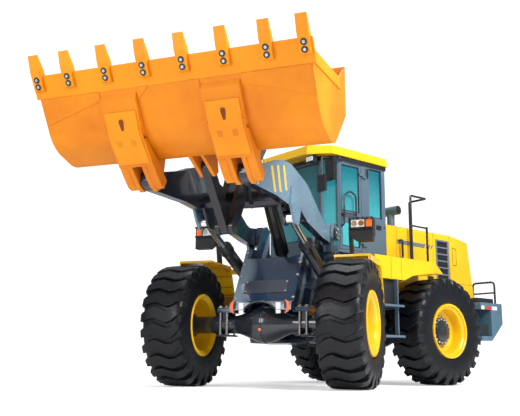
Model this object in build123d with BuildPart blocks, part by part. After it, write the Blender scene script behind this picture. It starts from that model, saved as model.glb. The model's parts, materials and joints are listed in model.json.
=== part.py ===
from build123d import *
from math import atan2, cos, degrees, hypot, radians, sin
import os

# Wheel loader, 5 tonne class, articulated, with a Z-bar bucket linkage.
# Millimetres. The rear half lies straight along X, forward is +X, left is +Y.
# Modelling origin: on the ground under the articulation pins. Every piece is
# made in the frame of the body that carries it, and placed at the end.

# Stance in the photograph
STEER_REST = 30.2
BOOM_REST = 2.0
BUCKET_REST = 57.2

# Wheels
WHEEL_BASE = 3300
TRACK = 2220
TYRE_RADIUS = 780
TYRE_WIDTH = 560
RIM_RADIUS = 365
RIM_FLANGE = 35
DISH_RADIUS = 318
HUB_RADIUS = 200
LUG_COUNT = 20
LUG_HEIGHT = 46
LUG_WIDTH = 110
LUG_WAVE = 50

# Clearances: still pieces on their seats, pins in bores, faces that move
SEAT_GAP = 0.3
PIN_GAP = 0.3
SIDE_GAP = 5

# Axle housings
AXLE_TUBE = 112
AXLE_END = 150
AXLE_NECK = 430
BELL_RADIUS = 232

# Lift arms, in the front half
BOOM_PIVOT_X = 600
BOOM_PIVOT_Z = 2080
ARM_LENGTH = 3202
ARM_Y = 550
ARM_THICKNESS = 100
ARM_TAIL = 115
ARM_CROWN = 124
ARM_SHOULDER = 0.183362
ARM_SLOPE = 0.438031
ARM_THROAT = 0.319185
PIN_RADIUS = 45

# Bucket, from its hinge pin, floor level
BUCKET_WIDTH = 2920
EDGE_WIDTH = 2994
EDGE_REACH = 1254
FLOOR_DROP = 222
BUCKET_DEPTH = 1120
BUCKET_HEIGHT = 1290
SHELL_THICKNESS = 18
BRACKET_WIDTH = 400
EDGE_DEPTH = 240
EDGE_THICKNESS = 36
SIDE_THICKNESS = 25
TOOTH_REACH = 214
TOOTH_WIDTH = 110
TOOTH_YS = (210, 633, 1059, 1420)

# Bucket linkage, in the frame of the arms
ROCKER_X = 2024
ROCKER_Z = 365
ROCKER_LOW = 816
ROCKER_LOW_ANGLE = -64.2
ROCKER_HIGH = 749
ROCKER_HIGH_ANGLE = 137.5
BUCKET_LUG = 322
BUCKET_LUG_ANGLE = 91.0
ROCKER_THICKNESS = 50
ROCKER_HALF_GAP = 55
LINK_THICKNESS = 90

# Cylinders
LIFT_BASE_X = 750
LIFT_BASE_Z = 1400
LIFT_EYE_X = 1727
LIFT_EYE_Z = -140
LIFT_BARREL_RADIUS = 82
LIFT_BARREL_LENGTH = 1050
LIFT_ROD_RADIUS = 42
LIFT_ROD_LENGTH = 1100
TILT_BASE_X = 920
TILT_BASE_Z = 1660
TILT_BARREL_RADIUS = 95
TILT_BARREL_LENGTH = 1080
TILT_ROD_RADIUS = 50
TILT_ROD_LENGTH = 1000
STEER_BASE_X = -1050
STEER_BASE_Y = 420
STEER_EYE_X = 220
STEER_EYE_Y = 475
STEER_Z = 920
STEER_BARREL_RADIUS = 48
STEER_BARREL_LENGTH = 830
STEER_ROD_RADIUS = 25
STEER_ROD_LENGTH = 800
EYE_WIDTH = 90
BASE_PIN_RADIUS = 40
STEER_PIN_RADIUS = 22
LIFT_EYE_RADIUS = 78
TILT_EYE_RADIUS = 78
STEER_EYE_RADIUS = 42

# Front frame
FRAME_PLATE = 40
TOWER_HALF_WIDTH = 410
EAR_THICKNESS = 40
AXLE_SEAT_Z = 925
AXLE_SEAT_Y = 528
FRAME_BOTTOM = 945
TOWER_REAR = 480
HINGE_UPPER_Z = 1210
HINGE_LOWER_Z = 640
HINGE_LUG = 80
HINGE_FORK = 50
HINGE_RADIUS = 130
HINGE_PIN_RADIUS = 45

# Rear frame, hood, cab
RAIL_Y = 300
RAIL_THICKNESS = 40
RAIL_TOP = 1180
CRADLE_EDGE = 1700
CRADLE_WAIST = 1600
CRADLE_FLARE = 40
HOOD_FRONT = -1040
HOOD_REAR = -3240
HOOD_HALF_WIDTH = 720
HOOD_TOP = 2400
HOOD_SKIN = 30
CAB_FRONT = 180
CAB_REAR = -1000
CAB_HALF_WIDTH = 750
CAB_CORNER = 190
CAB_FLOOR = 1860
CAB_TOP = 3270
CAB_WALL = 60
CAB_HEADER = 80
ROOF_LAP = 40
ROOF_VISOR = 240
ROOF_CORNER = 270
ROOF_THICKNESS = 130
SILL_SHARE = 0.41
DOOR_FRONT = -10
DOOR_REAR = -470
DOOR_GAP = 6
DOOR_THICKNESS = 40
DOOR_PIN_RADIUS = 8
DOOR_PIN_OUT = 20
DOOR_HINGE_INSET = 150
DOOR_KNUCKLE = 38
GLASS_THICKNESS = 8
STEP_CLEARANCE = 180
DECK_HALF_WIDTH = 1200
DECK_TOP = 1800
DECK_BOTTOM = 1480
CW_HALF_WIDTH = 1060
CW_REAR = -3500
CW_TOP = 1290
DRAWBAR_FOOT = 930
DRAWBAR_LOW = 1080
DRAWBAR_HIGH = 1180
DRAWBAR_RADIUS = 26
SHAFT_RADIUS = 38
RAIL_TUBE = 17
RAIL_SIDE = 1100
RAIL_FRONT = -1170
RAIL_REAR = -1535
RAIL_TIP = 2790
LOUVRE_X = -2410
LOUVRE_Z = 1945
LOUVRE_WIDTH = 360
LOUVRE_HEIGHT = 690
LOUVRE_DEPTH = 18

os.makedirs("parts", exist_ok=True)

# Frames of the moving bodies at rest
axle_x = WHEEL_BASE / 2
wheel_y = TRACK / 2
REAR = Location((0, 0, 0))
FRONT = Location((0, 0, 0), (0, 0, STEER_REST))
ARMS = FRONT * Location((BOOM_PIVOT_X, 0, BOOM_PIVOT_Z), (0, -BOOM_REST, 0))
BUCKET = ARMS * Location((ARM_LENGTH, 0, 0), (0, -BUCKET_REST, 0))


def polar(radius, angle):
    return radius * cos(radians(angle)), radius * sin(radians(angle))


# Pins of the linkage, in the frame of the arms
rocker_pin = (ROCKER_X, ROCKER_Z)
low_reach = polar(ROCKER_LOW, ROCKER_LOW_ANGLE)
high_reach = polar(ROCKER_HIGH, ROCKER_HIGH_ANGLE)
low_pin = (ROCKER_X + low_reach[0], ROCKER_Z + low_reach[1])
high_pin = (ROCKER_X + high_reach[0], ROCKER_Z + high_reach[1])
lug_reach = polar(BUCKET_LUG, BUCKET_LUG_ANGLE + BUCKET_REST)
lug_pin = (ARM_LENGTH + lug_reach[0], lug_reach[1])
link_length = hypot(lug_pin[0] - low_pin[0], lug_pin[1] - low_pin[1])
link_angle = degrees(atan2(lug_pin[1] - low_pin[1], lug_pin[0] - low_pin[0]))


def arms_to_front(x, z):
    turn = radians(BOOM_REST)
    return (
        BOOM_PIVOT_X + x * cos(turn) - z * sin(turn),
        BOOM_PIVOT_Z + x * sin(turn) + z * cos(turn),
    )


lift_eye = arms_to_front(LIFT_EYE_X, LIFT_EYE_Z)
lift_length = hypot(lift_eye[0] - LIFT_BASE_X, lift_eye[1] - LIFT_BASE_Z)
lift_angle = degrees(atan2(lift_eye[1] - LIFT_BASE_Z, lift_eye[0] - LIFT_BASE_X))
tilt_eye = arms_to_front(*high_pin)
tilt_length = hypot(tilt_eye[0] - TILT_BASE_X, tilt_eye[1] - TILT_BASE_Z)
tilt_angle = degrees(atan2(tilt_eye[1] - TILT_BASE_Z, tilt_eye[0] - TILT_BASE_X))


def steer_line(side):
    """Length and heading of a steering cylinder, in the rear frame."""
    eye_turn = radians(STEER_REST)
    eye_x = STEER_EYE_X * cos(eye_turn) - side * STEER_EYE_Y * sin(eye_turn)
    eye_y = STEER_EYE_X * sin(eye_turn) + side * STEER_EYE_Y * cos(eye_turn)
    run_x = eye_x - STEER_BASE_X
    run_y = eye_y - side * STEER_BASE_Y
    return hypot(run_x, run_y), degrees(atan2(run_y, run_x))


pieces = []


def keep(name, part, frame=REAR):
    """Note a finished piece and the frame of the body that carries it."""
    pieces.append((name, part, frame))


# Wheels: a tyre with its lugs, and a rim with its hub, turning about Y,
# the outer side towards +Y
tread_radius = TYRE_RADIUS - LUG_HEIGHT
half_tyre = TYRE_WIDTH / 2
bead_radius = RIM_RADIUS + RIM_FLANGE
lug_foot = 0.77 * TYRE_RADIUS
lug_corner = LUG_WAVE + LUG_WIDTH / 2
lug_top = (TYRE_RADIUS**2 - lug_corner**2) ** 0.5
tread_half = 0.74 * half_tyre

# One lug: a bar bent once on its way across the tread, with sloping ends
with BuildPart() as lug:
    with BuildSketch(Plane.YZ.offset(lug_foot)):
        with BuildLine():
            Polyline(
                (-lug_corner, -half_tyre), (LUG_WAVE - LUG_WIDTH / 2, 0), (-lug_corner, half_tyre),
                (LUG_WIDTH / 2 - LUG_WAVE, half_tyre), (lug_corner, 0), (LUG_WIDTH / 2 - LUG_WAVE, -half_tyre),
                close=True,
            )
        make_face()
    extrude(amount=lug_top - lug_foot)
    with BuildSketch(Plane.XZ):
        with BuildLine():
            Polyline(
                (lug_foot, -0.97 * half_tyre), (lug_top - 65, -half_tyre), (lug_top, -0.8 * half_tyre),
                (lug_top, 0.8 * half_tyre), (lug_top - 65, half_tyre), (lug_foot, 0.97 * half_tyre),
                close=True,
            )
        make_face()
    extrude(amount=2 * lug_corner, both=True, mode=Mode.INTERSECT)

# The carcass has two flats for each lug, and a lug's corner stands on the ground
flats = 2 * LUG_COUNT
flat_radius = tread_radius / cos(radians(180 / flats))
lug_start = -90 - degrees(atan2(lug_corner, lug_top))
with BuildPart(Plane.XZ) as tyre:
    with BuildSketch(Plane.XZ.offset(-tread_half)):
        RegularPolygon(flat_radius, flats)
    extrude(amount=2 * tread_half)
    for side in (-1, 1):
        with BuildSketch(Plane.XZ.offset(side * tread_half)):
            RegularPolygon(flat_radius, flats)
        extrude(amount=side * (0.97 * half_tyre - tread_half), taper=62)
    with BuildSketch(Plane.XZ.offset(-half_tyre)):
        Circle(bead_radius)
    extrude(amount=TYRE_WIDTH, mode=Mode.SUBTRACT)
    with PolarLocations(0, LUG_COUNT, start_angle=lug_start):
        add(lug.part)

# The rim: a flanged ring, a deep dish and the hub in its middle
rim_seat = bead_radius - SEAT_GAP
dish_y = 0.18 * half_tyre
with BuildPart() as rim:
    with BuildSketch(Plane.XY):
        with BuildLine():
            Polyline(
                (rim_seat, -0.9 * half_tyre), (rim_seat, 0.93 * half_tyre),
                (rim_seat - 8, 0.97 * half_tyre), (RIM_RADIUS, 0.95 * half_tyre),
                (RIM_RADIUS - 8, 0.84 * half_tyre), (DISH_RADIUS + 10, 0.78 * half_tyre),
                (DISH_RADIUS, 0.72 * half_tyre), (DISH_RADIUS - 6, dish_y + 18),
                (DISH_RADIUS - 30, dish_y), (HUB_RADIUS, dish_y),
                (HUB_RADIUS, dish_y + 48), (HUB_RADIUS - 48, dish_y + 62),
                (0.55 * HUB_RADIUS, dish_y + 84), (0.3 * HUB_RADIUS, dish_y + 88),
                (0, dish_y + 102), (0, -0.1 * half_tyre),
                (DISH_RADIUS - 30, -0.1 * half_tyre), (DISH_RADIUS + 10, -0.3 * half_tyre),
                (DISH_RADIUS + 20, -0.9 * half_tyre),
                close=True,
            )
        make_face()
    revolve(axis=Axis.Y)

for corner, frame, x, side in (
    ("front_left", FRONT, axle_x, 1),
    ("front_right", FRONT, axle_x, -1),
    ("rear_left", REAR, -axle_x, 1),
    ("rear_right", REAR, -axle_x, -1),
):
    hub = frame * Location((x, side * wheel_y, TYRE_RADIUS), (0, 0, 90 - 90 * side))
    keep(f"tyre_{corner}", tyre.part, hub)
    keep(f"rim_{corner}", rim.part, hub)

# Axles: a tapered housing with the differential in the middle
hub_inner = wheel_y - half_tyre * 0.1 - SEAT_GAP
with BuildPart() as axle:
    with BuildSketch(Plane.XY):
        with BuildLine():
            bell = Spline(
                (AXLE_TUBE, -AXLE_NECK), (BELL_RADIUS - 30, -AXLE_NECK / 3), (BELL_RADIUS, 0),
                (BELL_RADIUS - 30, AXLE_NECK / 3), (AXLE_TUBE, AXLE_NECK),
                tangents=((0, 1), (0, 1)),
            )
            Polyline(
                bell @ 1, (AXLE_TUBE, hub_inner - 110), (AXLE_END, hub_inner - 90),
                (AXLE_END, hub_inner), (0, hub_inner), (0, -hub_inner), (AXLE_END, -hub_inner),
                (AXLE_END, -hub_inner + 90), (AXLE_TUBE, -hub_inner + 110), bell @ 0,
            )
        make_face()
    revolve(axis=Axis.Y)
    with BuildSketch(Plane.YZ.offset(150)):
        Circle(130)
    extrude(amount=180, taper=12)
    # seats under the frame
    for side in (-1, 1):
        with BuildSketch(Plane.XY):
            with Locations((0, side * AXLE_SEAT_Y)):
                Rectangle(200, 120)
        extrude(amount=AXLE_SEAT_Z - TYRE_RADIUS - SEAT_GAP)
front_axle_frame = FRONT * Location((axle_x, 0, TYRE_RADIUS), (0, 0, 180))
keep("front_axle", axle.part, front_axle_frame)
keep("rear_axle", axle.part, Location((-axle_x, 0, TYRE_RADIUS)))

# Front frame: two side plates that rise to the tower, a sloping nose, the
# ears of the arm pivots and the hinge lugs
tower_inner = ARM_Y - ARM_THICKNESS / 2 - SIDE_GAP
tower_outer = ARM_Y + ARM_THICKNESS / 2 + SIDE_GAP
with BuildPart() as front_frame:
    for side in (-1, 1):
        with BuildSketch(Plane.XZ.offset(-side * (TOWER_HALF_WIDTH - FRAME_PLATE / 2))):
            with BuildLine():
                Polyline(
                    (280, 560), (1120, 560), (1330, FRAME_BOTTOM), (1900, FRAME_BOTTOM), (1880, 1040),
                    (1780, 1060), (1300, 1800), (900, 1850), (720, 2180), (600, 2230),
                    (TOWER_REAR, 2180), (TOWER_REAR, 1850), (330, 1770), (280, 1320),
                    close=True,
                )
            make_face()
        extrude(amount=FRAME_PLATE / 2, both=True)
        # ears on both sides of the arm, joined behind it
        for near, far in ((TOWER_HALF_WIDTH, tower_inner), (tower_outer, tower_outer + EAR_THICKNESS)):
            middle = (near + far) / 2
            with BuildSketch(Plane.XZ.offset(-side * middle)):
                with BuildLine():
                    Polyline(
                        (330, 1290), (825, 1290), (825, 1440), (700, 1490), (660, 1700), (740, 2080),
                        (690, 2210), (540, 2220), (TOWER_REAR, 2120), (TOWER_REAR, 1850), (330, 1790),
                        close=True,
                    )
                make_face()
            extrude(amount=(far - near) / 2, both=True)
    with BuildSketch(Plane.XY.offset(1290)):
        with Locations((375, 0)):
            Rectangle(90, 2 * (tower_outer + EAR_THICKNESS))
    extrude(amount=520)
    # nose plate, following the slope between the side plates
    with BuildSketch(Plane.XZ):
        with BuildLine():
            Polyline(
                (1900, FRAME_BOTTOM), (1880, 1040), (1780, 1060), (1390, 1660), (1355, 1637),
                (1745, 1030), (1840, 1010), (1860, FRAME_BOTTOM),
                close=True,
            )
        make_face()
    extrude(amount=TOWER_HALF_WIDTH - FRAME_PLATE / 2, both=True)
    # rear wall and floor of the tower
    with BuildSketch(Plane.XZ):
        with BuildLine():
            Polyline(
                (280, 560), (1120, 560), (1120, 600), (320, 600), (320, 1320),
                (370, 1770), (330, 1770), (280, 1320),
                close=True,
            )
        make_face()
    extrude(amount=TOWER_HALF_WIDTH - FRAME_PLATE / 2, both=True)
    # arch over the differential
    with BuildSketch(Plane.YZ.offset(1700)):
        with Locations((0, TYRE_RADIUS)):
            Circle(265)
    extrude(amount=300, mode=Mode.SUBTRACT)
    # seats on the axle
    for side in (-1, 1):
        with BuildSketch(Plane.XY.offset(AXLE_SEAT_Z)):
            with Locations((axle_x, side * (TOWER_HALF_WIDTH + 600) / 2)):
                Rectangle(300, 600 - TOWER_HALF_WIDTH + 20)
        extrude(amount=50)
        # pins of the arms and of the lift cylinders
        for x, z, radius in (
            (BOOM_PIVOT_X, BOOM_PIVOT_Z, PIN_RADIUS),
            (LIFT_BASE_X, LIFT_BASE_Z, BASE_PIN_RADIUS),
        ):
            with BuildSketch(Plane.XZ.offset(-side * ARM_Y)):
                with Locations((x, z)):
                    Circle(radius)
            extrude(amount=tower_outer + EAR_THICKNESS + 12 - ARM_Y, both=True)
    # way through for the drive shaft
    with BuildSketch(Plane.YZ.offset(270)):
        with Locations((0, TYRE_RADIUS)):
            Circle(110)
    extrude(amount=60, mode=Mode.SUBTRACT)
    # pin of the tilt cylinder
    with BuildSketch(Plane.XZ):
        with Locations((TILT_BASE_X, TILT_BASE_Z)):
            Circle(BASE_PIN_RADIUS)
    extrude(amount=EYE_WIDTH / 2 + SIDE_GAP + EAR_THICKNESS + 12, both=True)
    # hinge lugs
    for z in (HINGE_UPPER_Z, HINGE_LOWER_Z):
        with BuildSketch(Plane.XY.offset(z - HINGE_LUG / 2)):
            Circle(HINGE_RADIUS)
            with BuildLine():
                Polyline((0, -HINGE_RADIUS), (330, -250), (330, 250), (0, HINGE_RADIUS), close=True)
            make_face()
            Circle(HINGE_PIN_RADIUS + PIN_GAP, mode=Mode.SUBTRACT)
        extrude(amount=HINGE_LUG)
    # lugs of the tilt cylinder
    for side in (-1, 1):
        lug_y = side * (EYE_WIDTH / 2 + SIDE_GAP + EAR_THICKNESS / 2)
        with BuildSketch(Plane.XZ.offset(-lug_y)):
            with BuildLine():
                Polyline(
                    (330, 1420), (940, 1580), (995, 1635), (985, 1710), (900, 1738), (350, 1700),
                    close=True,
                )
            make_face()
        extrude(amount=EAR_THICKNESS / 2, both=True)
    # lugs of the steering rods
    for side in (-1, 1):
        for z in (STEER_Z - EYE_WIDTH / 2 - SIDE_GAP - 25, STEER_Z + EYE_WIDTH / 2 + SIDE_GAP):
            with BuildSketch(Plane.XY.offset(z)):
                with Locations((STEER_EYE_X + 60, side * STEER_EYE_Y)):
                    Rectangle(220, 150)
            extrude(amount=25)
keep("front_frame", front_frame.part, FRONT)

# Fenders over the front wheels
fender_inner = wheel_y - half_tyre + 20
fender_outer = 1310
with BuildPart() as front_fenders:
    for side in (-1, 1):
        with BuildSketch(Plane.XZ.offset(-side * (fender_inner + fender_outer) / 2)):
            with BuildLine():
                Polyline(
                    (1500, 1650), (780, 1650), (620, 1240), (650, 1228), (800, 1620), (1500, 1620),
                    close=True,
                )
            make_face()
        extrude(amount=(fender_outer - fender_inner) / 2, both=True)
        with BuildSketch(Plane.XZ.offset(-side * (fender_outer - 10))):
            with BuildLine():
                Polyline((1500, 1650), (780, 1650), (750, 1570), (1500, 1570), close=True)
            make_face()
        extrude(amount=10, both=True)
        # bracket to the tower
        bracket_end = fender_inner + 40
        bracket_start = tower_outer + EAR_THICKNESS
        with BuildSketch(Plane.XZ.offset(-side * (bracket_end + bracket_start + SEAT_GAP) / 2)):
            with Locations((600, 1590)):
                Rectangle(120, 60)
        extrude(amount=(bracket_end - bracket_start - SEAT_GAP) / 2, both=True)
        with BuildSketch(Plane.XZ.offset(-side * bracket_end)):
            with Locations((720, 1590)):
                Rectangle(360, 60)
        extrude(amount=20, both=True)
keep("front_fenders", front_fenders.part, FRONT)

# Work lamps on stalks beside the tower
with BuildPart() as work_lamps:
    for side in (-1, 1):
        with BuildSketch(Plane.XY.offset(1950)):
            with Locations((1020, side * 1115)):
                Rectangle(130, 330)
        extrude(amount=230)
        with BuildSketch(Plane.XZ.offset(-side * 960)):
            with BuildLine():
                Polyline((880, 1650 + SEAT_GAP), (980, 1650 + SEAT_GAP), (1060, 2010), (960, 2010), close=True)
            make_face()
        extrude(amount=20, both=True)
keep("work_lamps", work_lamps.part, FRONT)

# Lift arms: two curved plates, the cross tube below the rocker, the lugs
# that carry the rocker and the forks that take the lift rods
nose_run = ARM_LENGTH - ROCKER_X
crown_x = ROCKER_X - ARM_CROWN
shoulder_x = ROCKER_X + ARM_SHOULDER * nose_run
slope_x = ROCKER_X + ARM_SLOPE * nose_run
throat_x = ROCKER_X + ARM_THROAT * nose_run
cross_x = ROCKER_X - 165
cross_z = ROCKER_Z - 285
with BuildPart() as boom:
    for side in (-1, 1):
        with BuildSketch(Plane.XZ.offset(-side * ARM_Y)):
            with BuildLine():
                FilletPolyline(
                    (-ARM_TAIL, 150), (400, 62), (1230, 395), (crown_x, 468),
                    (shoulder_x, 418), (slope_x, 288),
                    (ARM_LENGTH - 50, 98), (ARM_LENGTH + 98, 62), (ARM_LENGTH + 98, -70),
                    (ARM_LENGTH - 22, -108), (throat_x, -45), (1800, -42), (480, -152), (-ARM_TAIL, -152),
                    radius=[100, 400, 600, 500, 400, 500, 100, 60, 60, 60, 400, 400, 300, 100],
                    close=True,
                )
            make_face()
            with Locations((ARM_LENGTH, 0), (0, 0)):
                Circle(PIN_RADIUS + PIN_GAP, mode=Mode.SUBTRACT)
        extrude(amount=ARM_THICKNESS / 2, both=True)
        # notch for the lift rod between two side plates
        with BuildSketch(Plane.XZ.offset(-side * ARM_Y)):
            with BuildLine():
                Polyline(
                    (LIFT_EYE_X - 500, -300), (LIFT_EYE_X - 480, -80), (LIFT_EYE_X - 240, 0),
                    (LIFT_EYE_X - 110, 110), (LIFT_EYE_X + 110, 110), (LIFT_EYE_X + 130, -300),
                    close=True,
                )
            make_face()
        extrude(amount=ARM_THICKNESS / 2, both=True, mode=Mode.SUBTRACT)
        fork_y = EYE_WIDTH / 2 + SIDE_GAP + 15
        for face in (-1, 1):
            with BuildSketch(Plane.XZ.offset(-side * ARM_Y - face * fork_y)):
                with BuildLine():
                    Polyline(
                        (LIFT_EYE_X - 180, 180), (LIFT_EYE_X - 150, 0), (LIFT_EYE_X - 100, -190),
                        (LIFT_EYE_X - 50, -235), (LIFT_EYE_X + 60, -235), (LIFT_EYE_X + 130, -170),
                        (LIFT_EYE_X + 240, -20), (LIFT_EYE_X + 200, 180),
                        close=True,
                    )
                make_face()
            extrude(amount=15, both=True)
    with BuildSketch(Plane.XZ):
        with Locations((cross_x, cross_z)):
            Circle(110)
    extrude(amount=ARM_Y - ARM_THICKNESS / 2, both=True)
    # lugs from the cross tube to the rocker pin
    for side in (-1, 1):
        lug_y = side * (ROCKER_HALF_GAP + ROCKER_THICKNESS + SIDE_GAP + 20)
        with BuildSketch(Plane.XZ.offset(-lug_y)):
            with BuildLine():
                Polyline(
                    (ROCKER_X - 290, ROCKER_Z - 300), (ROCKER_X - 60, ROCKER_Z - 380),
                    (ROCKER_X + 100, ROCKER_Z - 20), (ROCKER_X + 60, ROCKER_Z + 90),
                    (ROCKER_X - 60, ROCKER_Z + 90),
                    close=True,
                )
            make_face()
            with Locations((ROCKER_X, ROCKER_Z)):
                Circle(PIN_RADIUS + PIN_GAP, mode=Mode.SUBTRACT)
        extrude(amount=20, both=True)
keep("lift_arms", boom.part, ARMS)

# Rocker: two bent levers side by side, with a spacer round the main pin
with BuildPart() as rocker:
    for side in (-1, 1):
        plate_y = side * (ROCKER_HALF_GAP + ROCKER_THICKNESS / 2)
        with BuildSketch(Plane.XZ.offset(-plate_y)):
            make_hull(
                Edge.make_circle(85, Plane(high_pin)).edges()
                + Edge.make_circle(140, Plane(rocker_pin)).edges()
            )
            make_hull(
                Edge.make_circle(140, Plane(rocker_pin)).edges()
                + Edge.make_circle(85, Plane(low_pin)).edges()
            )
        extrude(amount=ROCKER_THICKNESS / 2, both=True)
    with BuildSketch(Plane.XZ):
        with Locations(rocker_pin):
            Circle(110)
    extrude(amount=ROCKER_HALF_GAP, both=True)
    with BuildSketch(Plane.XZ):
        with Locations(rocker_pin):
            Circle(PIN_RADIUS)
    extrude(amount=ROCKER_HALF_GAP + ROCKER_THICKNESS + SIDE_GAP + 40, both=True)
    with BuildSketch(Plane.XZ):
        with Locations(low_pin):
            Circle(BASE_PIN_RADIUS)
    extrude(amount=ROCKER_HALF_GAP + ROCKER_THICKNESS, both=True)
keep("rocker", rocker.part, ARMS)

# Link from the rocker to the bucket
with BuildPart() as link:
    with BuildSketch(Plane.XZ):
        make_hull(
            Edge.make_circle(80, Plane(low_pin)).edges() + Edge.make_circle(80, Plane(lug_pin)).edges()
        )
        with Locations(low_pin):
            Circle(BASE_PIN_RADIUS + PIN_GAP, mode=Mode.SUBTRACT)
    extrude(amount=LINK_THICKNESS / 2, both=True)
keep("link", link.part, ARMS)

# Bucket: shell, ears for the arms and for the link, in its own frame
edge_z = -FLOOR_DROP
mouth_x = EDGE_REACH - EDGE_DEPTH


def bucket_point(back, up):
    """A point given from the cutting edge, as behind it and above the floor."""
    return EDGE_REACH - back, edge_z + up


shell_points = [
    bucket_point(EDGE_DEPTH + SEAT_GAP, 0), bucket_point(760, 0), bucket_point(BUCKET_DEPTH, 330),
    bucket_point(955, 1040), bucket_point(490, BUCKET_HEIGHT),
]
shell_radii = [400, 300, 40]
with BuildPart() as bucket:
    with BuildSketch(Plane.XZ):
        with BuildLine():
            FilletPolyline(*shell_points, radius=shell_radii)
            offset(amount=SHELL_THICKNESS, side=Side.RIGHT)
        make_face()
    extrude(amount=BUCKET_WIDTH / 2, both=True)
    # side plates, set back from the teeth
    for side in (-1, 1):
        with BuildSketch(Plane.XZ.offset(-side * (BUCKET_WIDTH - SIDE_THICKNESS) / 2)):
            with BuildLine():
                wrap = FilletPolyline(*shell_points, radius=shell_radii)
                Polyline(
                    wrap @ 1, bucket_point(550, 960), bucket_point(100, EDGE_THICKNESS + SEAT_GAP),
                    bucket_point(EDGE_DEPTH + SEAT_GAP, EDGE_THICKNESS + SEAT_GAP), wrap @ 0,
                )
            make_face()
        extrude(amount=SIDE_THICKNESS / 2, both=True)
        # box under the floor between the ears
        with BuildSketch(Plane.XZ.offset(-side * ARM_Y)):
            with BuildLine():
                Polyline(
                    bucket_point(280, 5), bucket_point(335, -45), bucket_point(690, -62),
                    bucket_point(740, 10), bucket_point(700, 22),
                    close=True,
                )
            make_face()
        extrude(amount=BRACKET_WIDTH / 2, both=True)
    arm_slot = ARM_THICKNESS / 2 + SIDE_GAP
    for side in (-1, 1):
        for face in (-1, 1):
            ear_y = side * ARM_Y + face * (arm_slot + 25)
            with BuildSketch(Plane.XZ.offset(-ear_y)):
                with BuildLine():
                    Polyline(
                        bucket_point(300, -3), bucket_point(340, -45), bucket_point(760, -70),
                        (-40, -115), (-115, -50), (-115, 50), (-30, 115),
                        bucket_point(1075, 520), bucket_point(1090, 440), bucket_point(1050, 310),
                        bucket_point(950, 180), bucket_point(780, 60), bucket_point(520, 6),
                        close=True,
                    )
                make_face()
            extrude(amount=25, both=True)
        with BuildSketch(Plane.XZ.offset(-side * ARM_Y)):
            Circle(PIN_RADIUS)
        extrude(amount=arm_slot + 50, both=True)
    for side in (-1, 1):
        lug_y = side * (LINK_THICKNESS / 2 + SIDE_GAP + 20)
        lug_centre = polar(BUCKET_LUG, BUCKET_LUG_ANGLE)
        with BuildSketch(Plane.XZ.offset(-lug_y)):
            with BuildLine():
                Polyline(
                    bucket_point(1050, 300), bucket_point(1092, 470), bucket_point(1020, 770),
                    (lug_centre[0] + 40, lug_centre[1] + 95), (lug_centre[0] - 75, lug_centre[1] + 60),
                    (lug_centre[0] - 90, lug_centre[1] - 40), (lug_centre[0] + 20, lug_centre[1] - 110),
                    close=True,
                )
            make_face()
        extrude(amount=20, both=True)
keep("bucket", bucket.part, BUCKET)

# Cutting edge with its teeth
with BuildPart() as teeth:
    with BuildSketch(Plane.XZ):
        with BuildLine():
            Polyline(
                (EDGE_REACH, edge_z), (mouth_x, edge_z), (mouth_x, edge_z + EDGE_THICKNESS),
                (EDGE_REACH - 70, edge_z + EDGE_THICKNESS), (EDGE_REACH, edge_z + 8),
                close=True,
            )
        make_face()
    extrude(amount=EDGE_WIDTH / 2, both=True)
    for y in TOOTH_YS:
        for side in (-1, 1):
            with BuildSketch(Plane.XZ.offset(-side * y)):
                with BuildLine():
                    Polyline(
                        (EDGE_REACH + TOOTH_REACH, edge_z - 4), (EDGE_REACH + 60, edge_z - 34),
                        (EDGE_REACH - 140, edge_z - 36), (EDGE_REACH - 160, edge_z), (EDGE_REACH - 60, edge_z + 20),
                        (EDGE_REACH - 90, edge_z + EDGE_THICKNESS), (EDGE_REACH - 60, edge_z + 56),
                        (EDGE_REACH + 60, edge_z + 46), (EDGE_REACH + TOOTH_REACH, edge_z + 8),
                        close=True,
                    )
                make_face()
            extrude(amount=TOOTH_WIDTH / 2, both=True)
keep("bucket_teeth", teeth.part, BUCKET)


def cylinder(barrel_length, barrel_radius, rod_length, rod_radius, eye_radius, pin_radius, reach):
    """Barrel and rod along +X, the base pin at the origin, the rod's eye at reach."""
    neck = 2 * eye_radius
    with BuildPart() as barrel:
        with BuildSketch(Plane.XZ):
            Circle(eye_radius)
            with Locations((neck / 2, 0)):
                Rectangle(neck, 1.5 * eye_radius)
            Circle(pin_radius + PIN_GAP, mode=Mode.SUBTRACT)
        extrude(amount=EYE_WIDTH / 2, both=True)
        with BuildSketch(Plane.YZ.offset(neck)):
            Circle(barrel_radius)
        extrude(amount=barrel_length - neck)
        with BuildSketch(Plane.YZ.offset(neck + SIDE_GAP)):
            Circle(rod_radius + PIN_GAP)
        extrude(amount=barrel_length - neck, mode=Mode.SUBTRACT)
    with BuildPart() as rod:
        with BuildSketch(Plane.YZ.offset(reach - rod_length)):
            Circle(rod_radius)
        extrude(amount=rod_length)
        with BuildSketch(Plane.XZ):
            with Locations((reach, 0)):
                Circle(eye_radius)
        extrude(amount=EYE_WIDTH / 2, both=True)
    return barrel.part, rod.part


# Lift cylinders
lift_barrel, lift_rod = cylinder(
    LIFT_BARREL_LENGTH, LIFT_BARREL_RADIUS, LIFT_ROD_LENGTH, LIFT_ROD_RADIUS,
    LIFT_EYE_RADIUS, BASE_PIN_RADIUS, lift_length,
)
for name, side in (("left", 1), ("right", -1)):
    base = FRONT * Location((LIFT_BASE_X, side * ARM_Y, LIFT_BASE_Z), (0, -lift_angle, 0))
    keep(f"lift_barrel_{name}", lift_barrel, base)
    keep(f"lift_rod_{name}", lift_rod, base)

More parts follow.
